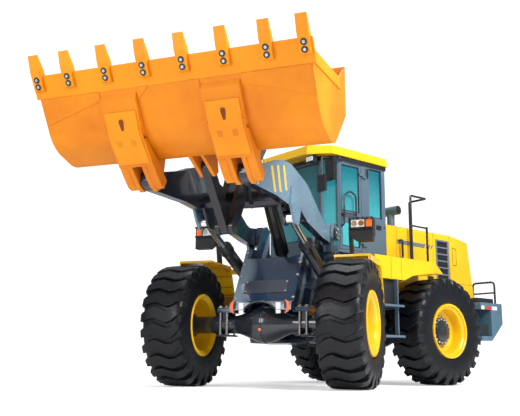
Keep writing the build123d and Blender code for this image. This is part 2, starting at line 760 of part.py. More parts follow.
# Tilt cylinder
tilt_barrel, tilt_rod = cylinder(
    TILT_BARREL_LENGTH, TILT_BARREL_RADIUS, TILT_ROD_LENGTH, TILT_ROD_RADIUS,
    TILT_EYE_RADIUS, BASE_PIN_RADIUS, tilt_length,
)
tilt_base = FRONT * Location((TILT_BASE_X, 0, TILT_BASE_Z), (0, -tilt_angle, 0))
keep("tilt_barrel", tilt_barrel, tilt_base)
keep("tilt_rod", tilt_rod, tilt_base)

# Steering cylinders, pins upright
for name, side in (("left", 1), ("right", -1)):
    steer_length, steer_angle = steer_line(side)
    steer_barrel, steer_rod = cylinder(
        STEER_BARREL_LENGTH, STEER_BARREL_RADIUS, STEER_ROD_LENGTH, STEER_ROD_RADIUS,
        STEER_EYE_RADIUS, STEER_PIN_RADIUS, steer_length,
    )
    base = Location((STEER_BASE_X, side * STEER_BASE_Y, STEER_Z), (0, 0, steer_angle))
    base = base * Location((0, 0, 0), (90, 0, 0))
    keep(f"steer_barrel_{name}", steer_barrel, base)
    keep(f"steer_rod_{name}", steer_rod, base)

# Rear frame: rails, cross plates, the forks of the articulation
deck_inner = HOOD_HALF_WIDTH + SEAT_GAP
with BuildPart() as rear_frame:
    for side in (-1, 1):
        with BuildSketch(Plane.XZ.offset(-side * (RAIL_Y - RAIL_THICKNESS / 2))):
            with BuildLine():
                Polyline(
                    (-330, 560), (-330, 1360), (-900, RAIL_TOP), (-3180, RAIL_TOP), (-3180, 760),
                    (-2150, 760), (-2050, 1000), (-1250, 1000), (-1100, 560),
                    close=True,
                )
            make_face()
        extrude(amount=RAIL_THICKNESS / 2, both=True)
    for x in (-360, -1150, -2200, -3100):
        with BuildSketch(Plane.XY.offset(940)):
            with Locations((x, 0)):
                Rectangle(40, 2 * RAIL_Y - 20)
        extrude(amount=200)
    for z in (HINGE_UPPER_Z, HINGE_LOWER_Z):
        for level in (z + HINGE_LUG / 2 + SIDE_GAP, z - HINGE_LUG / 2 - SIDE_GAP - HINGE_FORK):
            with BuildSketch(Plane.XY.offset(level)):
                Circle(HINGE_RADIUS)
                with BuildLine():
                    Polyline((0, HINGE_RADIUS), (-400, RAIL_Y), (-400, -RAIL_Y), (0, -HINGE_RADIUS), close=True)
                make_face()
            extrude(amount=HINGE_FORK)
        with BuildSketch(Plane.XY.offset(z - HINGE_LUG / 2 - SIDE_GAP - HINGE_FORK - 20)):
            Circle(HINGE_PIN_RADIUS)
        extrude(amount=HINGE_LUG + 2 * SIDE_GAP + 2 * HINGE_FORK + 40)
    for side in (-1, 1):
        for z in (STEER_Z - EYE_WIDTH / 2 - SIDE_GAP - 25, STEER_Z + EYE_WIDTH / 2 + SIDE_GAP):
            with BuildSketch(Plane.XY.offset(z)):
                with Locations((STEER_BASE_X, side * (RAIL_Y + STEER_BASE_Y + 50) / 2)):
                    Rectangle(150, STEER_BASE_Y + 50 - RAIL_Y + 20)
            extrude(amount=25)
        with BuildSketch(Plane.XY.offset(STEER_Z - EYE_WIDTH / 2 - SIDE_GAP - 35)):
            with Locations((STEER_BASE_X, side * STEER_BASE_Y)):
                Circle(STEER_PIN_RADIUS)
        extrude(amount=EYE_WIDTH + 2 * SIDE_GAP + 70)
        # seats on the rear axle
        with BuildSketch(Plane.XY.offset(AXLE_SEAT_Z + 75)):
            with Locations((-axle_x, side * (RAIL_Y + AXLE_SEAT_Y + 60 - 10) / 2)):
                Rectangle(240, AXLE_SEAT_Y + 60 + 10 - RAIL_Y)
        extrude(amount=60)
        with BuildSketch(Plane.XY.offset(AXLE_SEAT_Z)):
            with Locations((-axle_x, side * AXLE_SEAT_Y)):
                Rectangle(200, 120)
        extrude(amount=80)
    # cradle of the cab and the decks
    for x in (-390, -910):
        with BuildSketch(Plane.YZ.offset(x - 50)):
            with BuildLine():
                Polyline(
                    (-deck_inner + SEAT_GAP, CAB_FLOOR - SEAT_GAP), (deck_inner - SEAT_GAP, CAB_FLOOR - SEAT_GAP),
                    (deck_inner - SEAT_GAP, CRADLE_EDGE), (RAIL_Y + CRADLE_FLARE, CRADLE_WAIST), (RAIL_Y, RAIL_TOP),
                    (RAIL_Y - RAIL_THICKNESS, RAIL_TOP), (RAIL_Y - RAIL_THICKNESS, CRADLE_WAIST),
                    (-RAIL_Y + RAIL_THICKNESS, CRADLE_WAIST), (-RAIL_Y + RAIL_THICKNESS, RAIL_TOP),
                    (-RAIL_Y, RAIL_TOP), (-RAIL_Y - CRADLE_FLARE, CRADLE_WAIST),
                    (-deck_inner + SEAT_GAP, CRADLE_EDGE),
                    close=True,
                )
            make_face()
        extrude(amount=100)
keep("rear_frame", rear_frame.part)

# Engine and transmission
with BuildPart() as engine:
    with BuildSketch(Plane.XY.offset(RAIL_TOP + SEAT_GAP)):
        with Locations((-2250, 0)):
            Rectangle(1200, 2 * RAIL_Y)
    extrude(amount=820)
keep("engine", engine.part)
with BuildPart() as transmission:
    with BuildSketch(Plane.XY.offset(680)):
        with Locations((-720, 0)):
            Rectangle(520, 2 * (RAIL_Y - RAIL_THICKNESS - SEAT_GAP))
    extrude(amount=500)
keep("transmission", transmission.part)

# Drive shafts at axle height: to the rear axle, to the articulation, and on
pinion_reach = 330
with BuildPart() as drive_shafts:
    with BuildSketch(Plane.YZ.offset(-980 - SEAT_GAP)):
        with Locations((0, TYRE_RADIUS)):
            Circle(SHAFT_RADIUS)
    extrude(amount=980 - axle_x + pinion_reach + 2 * SEAT_GAP)
    with BuildSketch(Plane.YZ.offset(-460 + SEAT_GAP)):
        with Locations((0, TYRE_RADIUS)):
            Circle(SHAFT_RADIUS)
    extrude(amount=380)
keep("drive_shafts", drive_shafts.part)
with BuildPart() as front_shaft:
    with BuildSketch(Plane.YZ.offset(80)):
        with Locations((0, TYRE_RADIUS)):
            Circle(SHAFT_RADIUS)
    extrude(amount=axle_x - pinion_reach - SEAT_GAP - 80)
keep("front_shaft", front_shaft.part, FRONT)

# Hood: a shell open below
hood_bottom = CW_TOP + SEAT_GAP
with BuildPart() as hood:
    with BuildSketch(Plane.XZ):
        with BuildLine():
            Polyline(
                (HOOD_FRONT, hood_bottom), (HOOD_FRONT, HOOD_TOP), (-2560, HOOD_TOP),
                (-3090, HOOD_TOP - 90), (HOOD_REAR, hood_bottom),
                close=True,
            )
        make_face()
    extrude(amount=HOOD_HALF_WIDTH, both=True)
    fillet(hood.edges().filter_by(Axis.X).group_by(Axis.Z)[-1], 60)
    with BuildSketch(Plane.XZ):
        with BuildLine():
            Polyline(
                (HOOD_FRONT - HOOD_SKIN, hood_bottom - 10), (HOOD_FRONT - HOOD_SKIN, HOOD_TOP - HOOD_SKIN),
                (-2555, HOOD_TOP - HOOD_SKIN), (-3065, HOOD_TOP - 90 - HOOD_SKIN),
                (HOOD_REAR + HOOD_SKIN, hood_bottom - 10),
                close=True,
            )
        make_face()
    extrude(amount=HOOD_HALF_WIDTH - HOOD_SKIN, both=True, mode=Mode.SUBTRACT)
    # pockets of the louvres
    for side in (-1, 1):
        with BuildSketch(Plane.XZ.offset(-side * HOOD_HALF_WIDTH)):
            with Locations((LOUVRE_X, LOUVRE_Z)):
                Rectangle(LOUVRE_WIDTH, LOUVRE_HEIGHT)
        extrude(amount=side * LOUVRE_DEPTH, mode=Mode.SUBTRACT)
keep("hood", hood.part)

# Counterweight, with a pocket and a bore for the towing pin in its back
with BuildPart() as counterweight:
    with BuildSketch(Plane.XZ):
        with BuildLine():
            Polyline(
                (-2900, RAIL_TOP + SEAT_GAP), (-2900, CW_TOP), (CW_REAR, CW_TOP), (CW_REAR, 960), (-3180, 680),
                (-2900, 680), (-2900, 750), (-3180 - SEAT_GAP, 750), (-3180 - SEAT_GAP, RAIL_TOP + SEAT_GAP),
                close=True,
            )
        make_face()
    extrude(amount=CW_HALF_WIDTH, both=True)
    with BuildSketch(Plane.XY.offset(DRAWBAR_LOW)):
        with Locations((CW_REAR + 80, 0)):
            Rectangle(200, 200)
    extrude(amount=DRAWBAR_HIGH - DRAWBAR_LOW, mode=Mode.SUBTRACT)
    with BuildSketch(Plane.XY.offset(800)):
        with Locations((CW_REAR + 90, 0)):
            Circle(DRAWBAR_RADIUS)
    extrude(amount=CW_TOP, mode=Mode.SUBTRACT)
    # flat under the bore
    with BuildSketch(Plane.XY.offset(600)):
        with Locations((CW_REAR + 90, 0)):
            Circle(2 * DRAWBAR_RADIUS)
    extrude(amount=DRAWBAR_FOOT - 600, mode=Mode.SUBTRACT)
keep("counterweight", counterweight.part)

# Decks beside the cab
with BuildPart() as decks:
    for side in (-1, 1):
        with BuildSketch(Plane.XZ.offset(-side * (DECK_HALF_WIDTH + deck_inner) / 2)):
            with BuildLine():
                Polyline(
                    (-230, DECK_BOTTOM), (-230, DECK_TOP), (-1560, DECK_TOP), (-1760, 1640),
                    (-1600, 1640), (-1050, 1560), (-860, DECK_BOTTOM),
                    close=True,
                )
            make_face()
        extrude(amount=(DECK_HALF_WIDTH - deck_inner) / 2, both=True)
keep("decks", decks.part)

# Tanks and steps under the decks, ahead of the rear wheels
step_rear = TYRE_RADIUS - axle_x + STEP_CLEARANCE
with BuildPart() as side_tanks:
    for side in (-1, 1):
        with BuildSketch(Plane.XY.offset(1060)):
            with Locations((step_rear + 170, side * 850)):
                Rectangle(420, 560)
        extrude(amount=DECK_BOTTOM - 1060 - SEAT_GAP)
keep("side_tanks", side_tanks.part)
with BuildPart() as ladders:
    for side in (-1, 1):
        for z in (660, 1080):
            with BuildSketch(Plane.XY.offset(z)):
                with Locations((step_rear + 220, side * 1230)):
                    Rectangle(440, 180)
            extrude(amount=30)
        for x in (step_rear + 15, step_rear + 425):
            with BuildSketch(Plane.XY.offset(660)):
                with Locations((x, side * 1190)):
                    Rectangle(20, 60)
            extrude(amount=DECK_BOTTOM - 660 - SEAT_GAP)
keep("ladders", ladders.part)

# Cab: posts, lower walls, floor
cab_plan = [
    (CAB_REAR, -CAB_HALF_WIDTH), (CAB_FRONT - CAB_CORNER, -CAB_HALF_WIDTH),
    (CAB_FRONT, -CAB_HALF_WIDTH + CAB_CORNER), (CAB_FRONT, CAB_HALF_WIDTH - CAB_CORNER),
    (CAB_FRONT - CAB_CORNER, CAB_HALF_WIDTH), (CAB_REAR, CAB_HALF_WIDTH),
]
header = CAB_TOP - CAB_HEADER
sill = CAB_FLOOR + SILL_SHARE * (CAB_TOP - CAB_FLOOR)
screen_sill = CAB_FLOOR + 200
hinge_heights = (CAB_FLOOR + DOOR_HINGE_INSET, header - DOOR_HINGE_INSET)
facet_width = CAB_CORNER * 2**0.5 - 70
facets = [
    Plane(
        origin=(CAB_FRONT - CAB_CORNER / 2, side * (CAB_HALF_WIDTH - CAB_CORNER / 2), 0),
        x_dir=(-side, 1, 0), z_dir=(1, side, 0),
    )
    for side in (-1, 1)
]
door_middle = (DOOR_FRONT + DOOR_REAR) / 2
door_width = DOOR_FRONT - DOOR_REAR
door_bottom = CAB_FLOOR + 40
door_pin_x = DOOR_REAR - DOOR_GAP
door_pin_y = CAB_HALF_WIDTH + DOOR_PIN_OUT
with BuildPart() as cab:
    with BuildSketch(Plane.XY.offset(CAB_FLOOR)):
        with BuildLine():
            Polyline(*cab_plan, close=True)
        make_face()
    extrude(amount=CAB_TOP - CAB_FLOOR)
    with BuildSketch(Plane.XY.offset(CAB_FLOOR + CAB_WALL)):
        with BuildLine():
            Polyline(*cab_plan, close=True)
        make_face()
        offset(amount=-CAB_WALL, kind=Kind.INTERSECTION)
    extrude(amount=CAB_TOP - CAB_FLOOR, mode=Mode.SUBTRACT)
    # door openings
    with BuildSketch(Plane.XZ):
        with Locations((door_middle, (door_bottom + header) / 2)):
            Rectangle(door_width, header - door_bottom)
        with Locations((-780, (sill + header) / 2)):
            Rectangle(280, header - sill)
    extrude(amount=CAB_HALF_WIDTH + 10, both=True, mode=Mode.SUBTRACT)
    # windscreen and rear window
    with BuildSketch(Plane.YZ):
        with Locations((0, (screen_sill + header) / 2)):
            Rectangle(2 * (CAB_HALF_WIDTH - CAB_CORNER) - 80, header - screen_sill)
    extrude(amount=CAB_FRONT + 10, mode=Mode.SUBTRACT)
    with BuildSketch(Plane.YZ):
        with Locations((0, (sill + header) / 2)):
            Rectangle(2 * CAB_HALF_WIDTH - 260, header - sill)
    extrude(amount=CAB_REAR - 10, mode=Mode.SUBTRACT)
    # windows in the front corners
    for facet in facets:
        with BuildSketch(facet):
            with Locations((0, (screen_sill + header) / 2)):
                Rectangle(facet_width, header - screen_sill)
        extrude(amount=1.5 * CAB_WALL, both=True, mode=Mode.SUBTRACT)
    # hinge brackets with their pins
    for side in (-1, 1):
        for z in hinge_heights:
            with BuildSketch(Plane.XY.offset(z - 30)):
                with Locations((door_pin_x - 35, side * (CAB_HALF_WIDTH + 16))):
                    Rectangle(90, 42)
            extrude(amount=30)
            with BuildSketch(Plane.XY.offset(z)):
                with Locations((door_pin_x, side * door_pin_y)):
                    Circle(DOOR_PIN_RADIUS)
            extrude(amount=DOOR_KNUCKLE + SIDE_GAP)
keep("cab", cab.part)

roof_side = CAB_HALF_WIDTH + ROOF_LAP
roof_tip = CAB_FRONT + ROOF_VISOR
with BuildPart() as roof:
    with BuildSketch(Plane.XY.offset(CAB_TOP + SEAT_GAP)):
        with BuildLine():
            Polyline(
                (CAB_REAR - ROOF_LAP, -roof_side), (roof_tip - ROOF_CORNER, -roof_side),
                (roof_tip, -roof_side + ROOF_CORNER), (roof_tip, roof_side - ROOF_CORNER),
                (roof_tip - ROOF_CORNER, roof_side), (CAB_REAR - ROOF_LAP, roof_side),
                close=True,
            )
        make_face()
    extrude(amount=ROOF_THICKNESS, taper=10)
keep("cab_roof", roof.part)

# Glass of the cab: windscreen, rear window, quarter windows
screen_width = 2 * (CAB_HALF_WIDTH - CAB_CORNER) - 80 - 2 * SEAT_GAP
with BuildPart() as cab_glass:
    with BuildSketch(Plane.YZ.offset(CAB_FRONT - CAB_WALL / 2)):
        with Locations((0, (screen_sill + header) / 2)):
            Rectangle(screen_width, header - screen_sill - 2 * SEAT_GAP)
    extrude(amount=GLASS_THICKNESS)
    with BuildSketch(Plane.YZ.offset(CAB_REAR + CAB_WALL / 2)):
        with Locations((0, (sill + header) / 2)):
            Rectangle(2 * CAB_HALF_WIDTH - 260 - 2 * SEAT_GAP, header - sill - 2 * SEAT_GAP)
    extrude(amount=GLASS_THICKNESS)
    for side in (-1, 1):
        with BuildSketch(Plane.XZ.offset(-side * (CAB_HALF_WIDTH - CAB_WALL / 2))):
            with Locations((-780, (sill + header) / 2)):
                Rectangle(280 - 2 * SEAT_GAP, header - sill - 2 * SEAT_GAP)
        extrude(amount=GLASS_THICKNESS / 2, both=True)
    for facet in facets:
        with BuildSketch(facet.offset(-CAB_WALL / 2)):
            with Locations((0, (screen_sill + header) / 2)):
                Rectangle(facet_width - 2 * SEAT_GAP, header - screen_sill - 2 * SEAT_GAP)
        extrude(amount=GLASS_THICKNESS)
keep("cab_glass", cab_glass.part)

# Doors, each a frame with an upper and a lower pane
door_plane_y = CAB_HALF_WIDTH - DOOR_THICKNESS / 2
pane_width = door_width - 92
upper_pane = (sill + header) / 2, header - sill - 60
lower_pane = (door_bottom + sill) / 2 - 40, sill - door_bottom - 180
for name, side in (("left", 1), ("right", -1)):
    with BuildPart() as door:
        with BuildSketch(Plane.XZ.offset(-side * door_plane_y)):
            with Locations((door_middle, (door_bottom + header) / 2)):
                Rectangle(door_width - 2 * DOOR_GAP, header - door_bottom - 2 * DOOR_GAP)
            for middle, height in (upper_pane, lower_pane):
                with Locations((door_middle, middle)):
                    Rectangle(pane_width, height, mode=Mode.SUBTRACT)
        extrude(amount=DOOR_THICKNESS / 2, both=True)
        for z in hinge_heights:
            with BuildSketch(Plane.XY.offset(z + SEAT_GAP)):
                with Locations((door_pin_x, side * door_pin_y)):
                    Circle(DOOR_PIN_OUT - 2)
                with Locations((door_pin_x + 15, side * (door_pin_y - 9))):
                    Rectangle(30, 18)
                with Locations((door_pin_x + 35, side * (CAB_HALF_WIDTH + 8))):
                    Rectangle(40, 24)
                with Locations((door_pin_x, side * door_pin_y)):
                    Circle(DOOR_PIN_RADIUS + PIN_GAP, mode=Mode.SUBTRACT)
            extrude(amount=DOOR_KNUCKLE)
    keep(f"door_{name}", door.part)
    with BuildPart() as door_glass:
        with BuildSketch(Plane.XZ.offset(-side * door_plane_y)):
            for middle, height in (upper_pane, lower_pane):
                with Locations((door_middle, middle)):
                    Rectangle(pane_width - 2 * SEAT_GAP, height - 2 * SEAT_GAP)
        extrude(amount=GLASS_THICKNESS / 2, both=True)
    keep(f"door_glass_{name}", door_glass.part)

# Seat and console inside the cab
cab_inside_floor = CAB_FLOOR + CAB_WALL + SEAT_GAP
cab_height = CAB_TOP - CAB_FLOOR
cushion_z = CAB_FLOOR + 0.31 * cab_height
back_z = CAB_FLOOR + 0.74 * cab_height
wheel_z = CAB_FLOOR + 0.52 * cab_height
with BuildPart() as seat:
    with BuildSketch(Plane.XZ):
        with BuildLine():
            Polyline(
                (-200, cushion_z), (-640, cushion_z), (-760, back_z), (-660, back_z + 20),
                (-560, cushion_z + 120), (-200, cushion_z + 120),
                close=True,
            )
        make_face()
    extrude(amount=240, both=True)
    with BuildSketch(Plane.XY.offset(cab_inside_floor)):
        with Locations((-430, 0)):
            Rectangle(300, 300)
    extrude(amount=cushion_z + 10 - cab_inside_floor)
keep("seat", seat.part)
with BuildPart() as console:
    with BuildSketch(Plane.XZ):
        with BuildLine():
            Polyline(
                (20, cab_inside_floor), (90, cab_inside_floor), (10, wheel_z), (-70, wheel_z - 30),
                close=True,
            )
        make_face()
    extrude(amount=110, both=True)
keep("console", console.part)

# Steering wheel: a ring on three spokes, on its column over the console
column = Plane(origin=(-30, 0, wheel_z - 15), x_dir=(80, 0, 30), z_dir=(-30, 0, 80))
with BuildPart() as steering_wheel:
    with BuildSketch(column.offset(SEAT_GAP)):
        Circle(22)
    extrude(amount=80)
    with BuildSketch(column.offset(66)):
        Circle(190)
        Circle(165, mode=Mode.SUBTRACT)
        with PolarLocations(85, 3):
            Rectangle(170, 26)
    extrude(amount=24)
keep("steering_wheel", steering_wheel.part)

# Lamps under the front edge of the roof and over its rear edge
with BuildPart() as roof_lamps:
    for y in (-480, 480):
        with BuildSketch(Plane.XY.offset(CAB_TOP)):
            with Locations((CAB_FRONT + 100, y)):
                Rectangle(90, 160)
        extrude(amount=-100, taper=6)
keep("roof_lamps", roof_lamps.part)

# Mirrors on their tubes from the front posts
with BuildPart() as mirrors:
    for side in (-1, 1):
        with BuildLine() as route:
            FilletPolyline(
                (CAB_FRONT - CAB_CORNER - 20, side * (CAB_HALF_WIDTH + SEAT_GAP), header + 20),
                (CAB_FRONT - CAB_CORNER - 20, side * (CAB_HALF_WIDTH + 60), header + 20),
                (CAB_FRONT + 170, side * (CAB_HALF_WIDTH + 10), header - 10),
                (CAB_FRONT + 170, side * (CAB_HALF_WIDTH + 10), header - 300),
                radius=30,
            )
        with BuildSketch(Plane(origin=route.line @ 0, z_dir=route.line % 0)):
            Circle(12)
        sweep()
        for x, y, top, width, height in (
            (CAB_FRONT + 20, CAB_HALF_WIDTH + 33, header + 5, 170, 340),
            (CAB_FRONT + 170, CAB_HALF_WIDTH + 10, header - 270, 150, 240),
        ):
            with BuildSketch(Plane.XY.offset(top)):
                with Locations((x, side * y)):
                    Rectangle(40, width)
            extrude(amount=-height)
keep("mirrors", mirrors.part)

# Exhaust on the hood
with BuildPart() as exhaust:
    with BuildSketch(Plane.XY.offset(HOOD_TOP + SEAT_GAP)):
        with Locations((-1650, 300)):
            Circle(62)
    extrude(amount=330)
    with BuildSketch(Plane.XZ.offset(-200)):
        with Locations((-1650, HOOD_TOP + 330)):
            Circle(75)
    extrude(amount=-260)
keep("exhaust", exhaust.part)

# Guard rails on the decks: bent tubes, square in plan, and a grab rail
rail_z = DECK_TOP + SEAT_GAP
rail_routes = [
    [
        (RAIL_FRONT, RAIL_SIDE, rail_z), (RAIL_FRONT, RAIL_SIDE, RAIL_TIP),
        (RAIL_REAR, RAIL_SIDE, RAIL_TIP), (RAIL_REAR, HOOD_HALF_WIDTH + 60, RAIL_TIP),
        (RAIL_REAR, HOOD_HALF_WIDTH + 60, rail_z),
    ],
    [
        (RAIL_FRONT - 170, HOOD_HALF_WIDTH + SEAT_GAP, RAIL_TIP - 620),
        (RAIL_FRONT - 170, HOOD_HALF_WIDTH + 60, RAIL_TIP - 620),
        (RAIL_FRONT - 170, HOOD_HALF_WIDTH + 60, rail_z + 90),
        (RAIL_FRONT + 100, HOOD_HALF_WIDTH + 60, rail_z + 60),
        (RAIL_FRONT + 100, HOOD_HALF_WIDTH + 60, rail_z),
    ],
]
with BuildPart() as guard_rails:
    for side in (-1, 1):
        for points in rail_routes:
            with BuildLine() as route:
                FilletPolyline(*[(x, side * y, z) for x, y, z in points], radius=28)
            with BuildSketch(Plane(origin=route.line @ 0, z_dir=route.line % 0)):
                Circle(RAIL_TUBE)
            sweep()
        with BuildSketch(Plane.YZ.offset(RAIL_REAR)):
            with Locations((side * RAIL_SIDE, RAIL_TIP - 460)):
                Circle(RAIL_TUBE - 3)
        extrude(amount=RAIL_FRONT - RAIL_REAR)
        with BuildSketch(Plane.XY.offset(rail_z)):
            with Locations((RAIL_REAR, side * RAIL_SIDE)):
                Circle(RAIL_TUBE)
        extrude(amount=RAIL_TIP - 440 - rail_z)
keep("guard_rails", guard_rails.part)

# Loop that guards the rear lamps, on the counterweight
with BuildPart() as rear_guards:
    for side in (-1, 1):
        with BuildLine() as route:
            FilletPolyline(
                (CW_REAR + 60, side * 980, CW_TOP + SEAT_GAP), (CW_REAR + 60, side * 980, CW_TOP + 370),
                (CW_REAR + 60, side * 560, CW_TOP + 370), (CW_REAR + 60, side * 560, CW_TOP + SEAT_GAP),
                radius=60,
            )
        with BuildSketch(Plane(origin=route.line @ 0, z_dir=route.line % 0)):
            Circle(RAIL_TUBE)
        sweep()
        with BuildSketch(Plane.XZ.offset(-side * 560)):
            with Locations((CW_REAR + 60, CW_TOP + 190)):
                Circle(RAIL_TUBE - 3)
        extrude(amount=-side * 420)
keep("rear_guards", rear_guards.part)

# Louvres in the sides of the hood, each a frame round six slots
with BuildPart() as louvres:
    for side in (-1, 1):
        with BuildSketch(Plane.XZ.offset(-side * (HOOD_HALF_WIDTH - LOUVRE_DEPTH / 2 + SEAT_GAP))):
            with Locations((LOUVRE_X, LOUVRE_Z)):
                Rectangle(LOUVRE_WIDTH - 2 * SEAT_GAP, LOUVRE_HEIGHT - 2 * SEAT_GAP)
            with Locations((LOUVRE_X, LOUVRE_Z)):
                with GridLocations(0, (LOUVRE_HEIGHT - 30) / 6, 1, 6):
                    Rectangle(LOUVRE_WIDTH - 90, (LOUVRE_HEIGHT - 30) / 6 - 22, mode=Mode.SUBTRACT)
        extrude(amount=LOUVRE_DEPTH / 2 - SEAT_GAP, both=True)
keep("louvres", louvres.part)

# Every piece placed, the whole moved over the middle of its footprint
placed = [part.moved(frame) for name, part, frame in pieces]
box = Compound([solid for part in placed for solid in part.solids()]).bounding_box()
centre = Location((-(box.min.X + box.max.X) / 2, -(box.min.Y + box.max.Y) / 2, -box.min.Z))
for (name, part, frame), solid in zip(pieces, placed):
    node = solid.moved(centre)
    node.label = name
    export_step(node, f"parts/{name}.step")
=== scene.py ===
import json
from math import cos, pi, radians, sin

import bmesh
import bpy
from mathutils import Matrix, Vector


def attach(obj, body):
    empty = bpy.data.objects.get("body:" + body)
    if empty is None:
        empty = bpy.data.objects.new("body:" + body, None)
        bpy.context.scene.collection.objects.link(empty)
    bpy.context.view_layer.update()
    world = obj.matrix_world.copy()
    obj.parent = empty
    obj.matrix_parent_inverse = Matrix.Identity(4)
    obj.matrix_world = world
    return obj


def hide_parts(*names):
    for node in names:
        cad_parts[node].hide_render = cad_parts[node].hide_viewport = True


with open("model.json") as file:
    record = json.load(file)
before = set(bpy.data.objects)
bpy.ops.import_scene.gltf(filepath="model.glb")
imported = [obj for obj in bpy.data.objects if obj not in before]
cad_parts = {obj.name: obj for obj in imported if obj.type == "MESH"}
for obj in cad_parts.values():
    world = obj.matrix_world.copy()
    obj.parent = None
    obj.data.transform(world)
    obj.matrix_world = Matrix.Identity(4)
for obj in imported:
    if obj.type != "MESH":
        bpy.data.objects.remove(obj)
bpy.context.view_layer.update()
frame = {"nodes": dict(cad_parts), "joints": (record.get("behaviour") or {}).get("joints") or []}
joints = {j["name"]: j for j in frame["joints"]}
pivot = Vector(joints["steer"]["pos_m"])

# The pose of the photograph in degrees, and places of pins and axles in metres
STEER, LIFT, TILT = 30.2, 2.0, 57.2
LIFT_PIN, ARM_LENGTH = (0.6, 0, 2.08), 3.202
LIFT_BASE, LIFT_EYE = (0.75, 0, 1.40), (1.727, 0, -0.14)
TILT_BASE, TILT_EYE = (0.92, 0, 1.66), (1.472, 0, 0.871)
AXLE_X, HALF_TRACK, AXLE_Z = 1.65, 1.11, 0.78
SIDES = (("left", 1), ("right", -1))


def rz(a):
    return Matrix.Rotation(radians(a), 4, "Z")


def raised(a):
    return Matrix.Rotation(radians(-a), 4, "Y")


def at(x, y, z):
    return Matrix.Translation((x, y, z))


# The same frames as in the CAD
REAR = at(pivot.x, pivot.y, 0)
FRONT = REAR @ rz(STEER)
ARMS = FRONT @ at(*LIFT_PIN) @ raised(LIFT)
BUCKET = ARMS @ at(ARM_LENGTH, 0, 0) @ raised(TILT)


class Mat:
    """A node material with a few short ways to add nodes."""

    def __init__(self, name):
        self.m = bpy.data.materials.new(name)
        self.m.use_nodes = True
        self.t = self.m.node_tree
        self.b = self.t.nodes["Principled BSDF"]
        self.pos = self.add("ShaderNodeTexCoord").outputs["Object"]

    def add(self, kind, **props):
        n = self.t.nodes.new(kind)
        for k, v in props.items():
            setattr(n, k, v)
        return n

    def link(self, a, b):
        self.t.links.new(a, b)

    def noise(self, scale, detail=3, rough=0.5, vec=None):
        n = self.add("ShaderNodeTexNoise")
        n.inputs["Scale"].default_value = scale
        n.inputs["Detail"].default_value = detail
        n.inputs["Roughness"].default_value = rough
        self.link(vec or self.pos, n.inputs["Vector"])
        return n.outputs["Fac"]

    def ramp(self, fac, stops):
        n = self.add("ShaderNodeValToRGB")
        e = n.color_ramp.elements
        while len(e) < len(stops):
            e.new(0.5)
        for el, (p, c) in zip(e, stops):
            el.position = p
            el.color = (*c, 1)
        self.link(fac, n.inputs["Fac"])
        return n.outputs["Color"]

    def mix(self, fac, a, b):
        n = self.add("ShaderNodeMix", data_type="RGBA")
        for sock, v in ((n.inputs[0], fac), (n.inputs[6], a), (n.inputs[7], b)):
            if hasattr(v, "node"):
                self.link(v, sock)
            elif isinstance(v, (int, float)):
                sock.default_value = v
            else:
                sock.default_value = (*v, 1)
        return n.outputs[2]

    def span(self, fac, lo, hi, a, b):
        n = self.add("ShaderNodeMapRange")
        for k, v in (("From Min", lo), ("From Max", hi), ("To Min", a), ("To Max", b)):
            n.inputs[k].default_value = v
        self.link(fac, n.inputs["Value"])
        return n.outputs["Result"]

    def height(self):
        n = self.add("ShaderNodeSeparateXYZ")
        self.link(self.add("ShaderNodeNewGeometry").outputs["Position"], n.inputs[0])
        return n.outputs["Z"]

    def bumped(self, height, strength, distance=0.002, edge=0.0):
        n = self.add("ShaderNodeBump")
        n.inputs["Strength"].default_value = strength
        n.inputs["Distance"].default_value = distance
        self.link(height, n.inputs["Height"])
        if edge:
            e = self.add("ShaderNodeBevel", samples=4)
            e.inputs["Radius"].default_value = edge
            self.link(e.outputs["Normal"], n.inputs["Normal"])
        self.link(n.outputs["Normal"], self.b.inputs["Normal"])

    def set(self, **vals):
        for k, v in vals.items():
            s = self.b.inputs[k.replace("_", " ")]
            if hasattr(v, "node"):
                self.link(v, s)
            else:
                s.default_value = (*v, 1) if isinstance(v, tuple) else v
        return self


def paint(name, colour, deep, rough=0.28, coat=0.7, edge=0.006, metal=0.0, painted_reflection=None):
    """Sprayed paint: slight changes of tone, orange peel, edges rounded in the shading, and if asked,
    painted reflections.
    """
    m = Mat(name)
    fine = m.noise(26, 3, 0.6)
    tone = m.mix(m.span(m.noise(1.3, 4, 0.6), 0.35, 0.7, 0, 1), colour, deep)
    tone = m.mix(m.span(fine, 0.55, 0.8, 0, 0.1), tone, deep)
    if painted_reflection:
        # painted reflections: slanting bands of light mixed into the colour, as a glossy plate shows in a
        # studio
        wave = m.add("ShaderNodeTexWave", bands_direction="DIAGONAL", wave_profile="SIN")
        for k, v in (("Scale", 0.9), ("Distortion", 1.2), ("Detail", 1.0), ("Phase Offset", 2.0)):
            wave.inputs[k].default_value = v
        m.link(m.pos, wave.inputs["Vector"])
        tone = m.mix(m.span(wave.outputs["Fac"], 0.72, 0.92, 0, 1), tone, painted_reflection)
    m.set(Base_Color=tone, Metallic=metal, Roughness=m.span(fine, 0.3, 0.7, rough - 0.03, rough + 0.05))
    m.set(Coat_Weight=coat, Coat_Roughness=0.06, Specular_IOR_Level=0.35)
    m.bumped(m.noise(180, 2), 0.05, 0.0004, edge)
    return m.m


def rubber(name, colour, painted_sheen):
    m = Mat(name)
    # patches of a lighter colour: painted sheen mixed into the rubber's tone
    m.set(Base_Color=m.ramp(m.noise(9, 5, 0.65), [(0.3, colour), (0.75, painted_sheen)]))
    m.set(Roughness=m.span(m.noise(30, 3), 0.3, 0.7, 0.30, 0.48), Specular_IOR_Level=0.35)
    m.bumped(m.noise(140, 4, 0.7), 0.25, 0.002, 0.004)
    return m.m


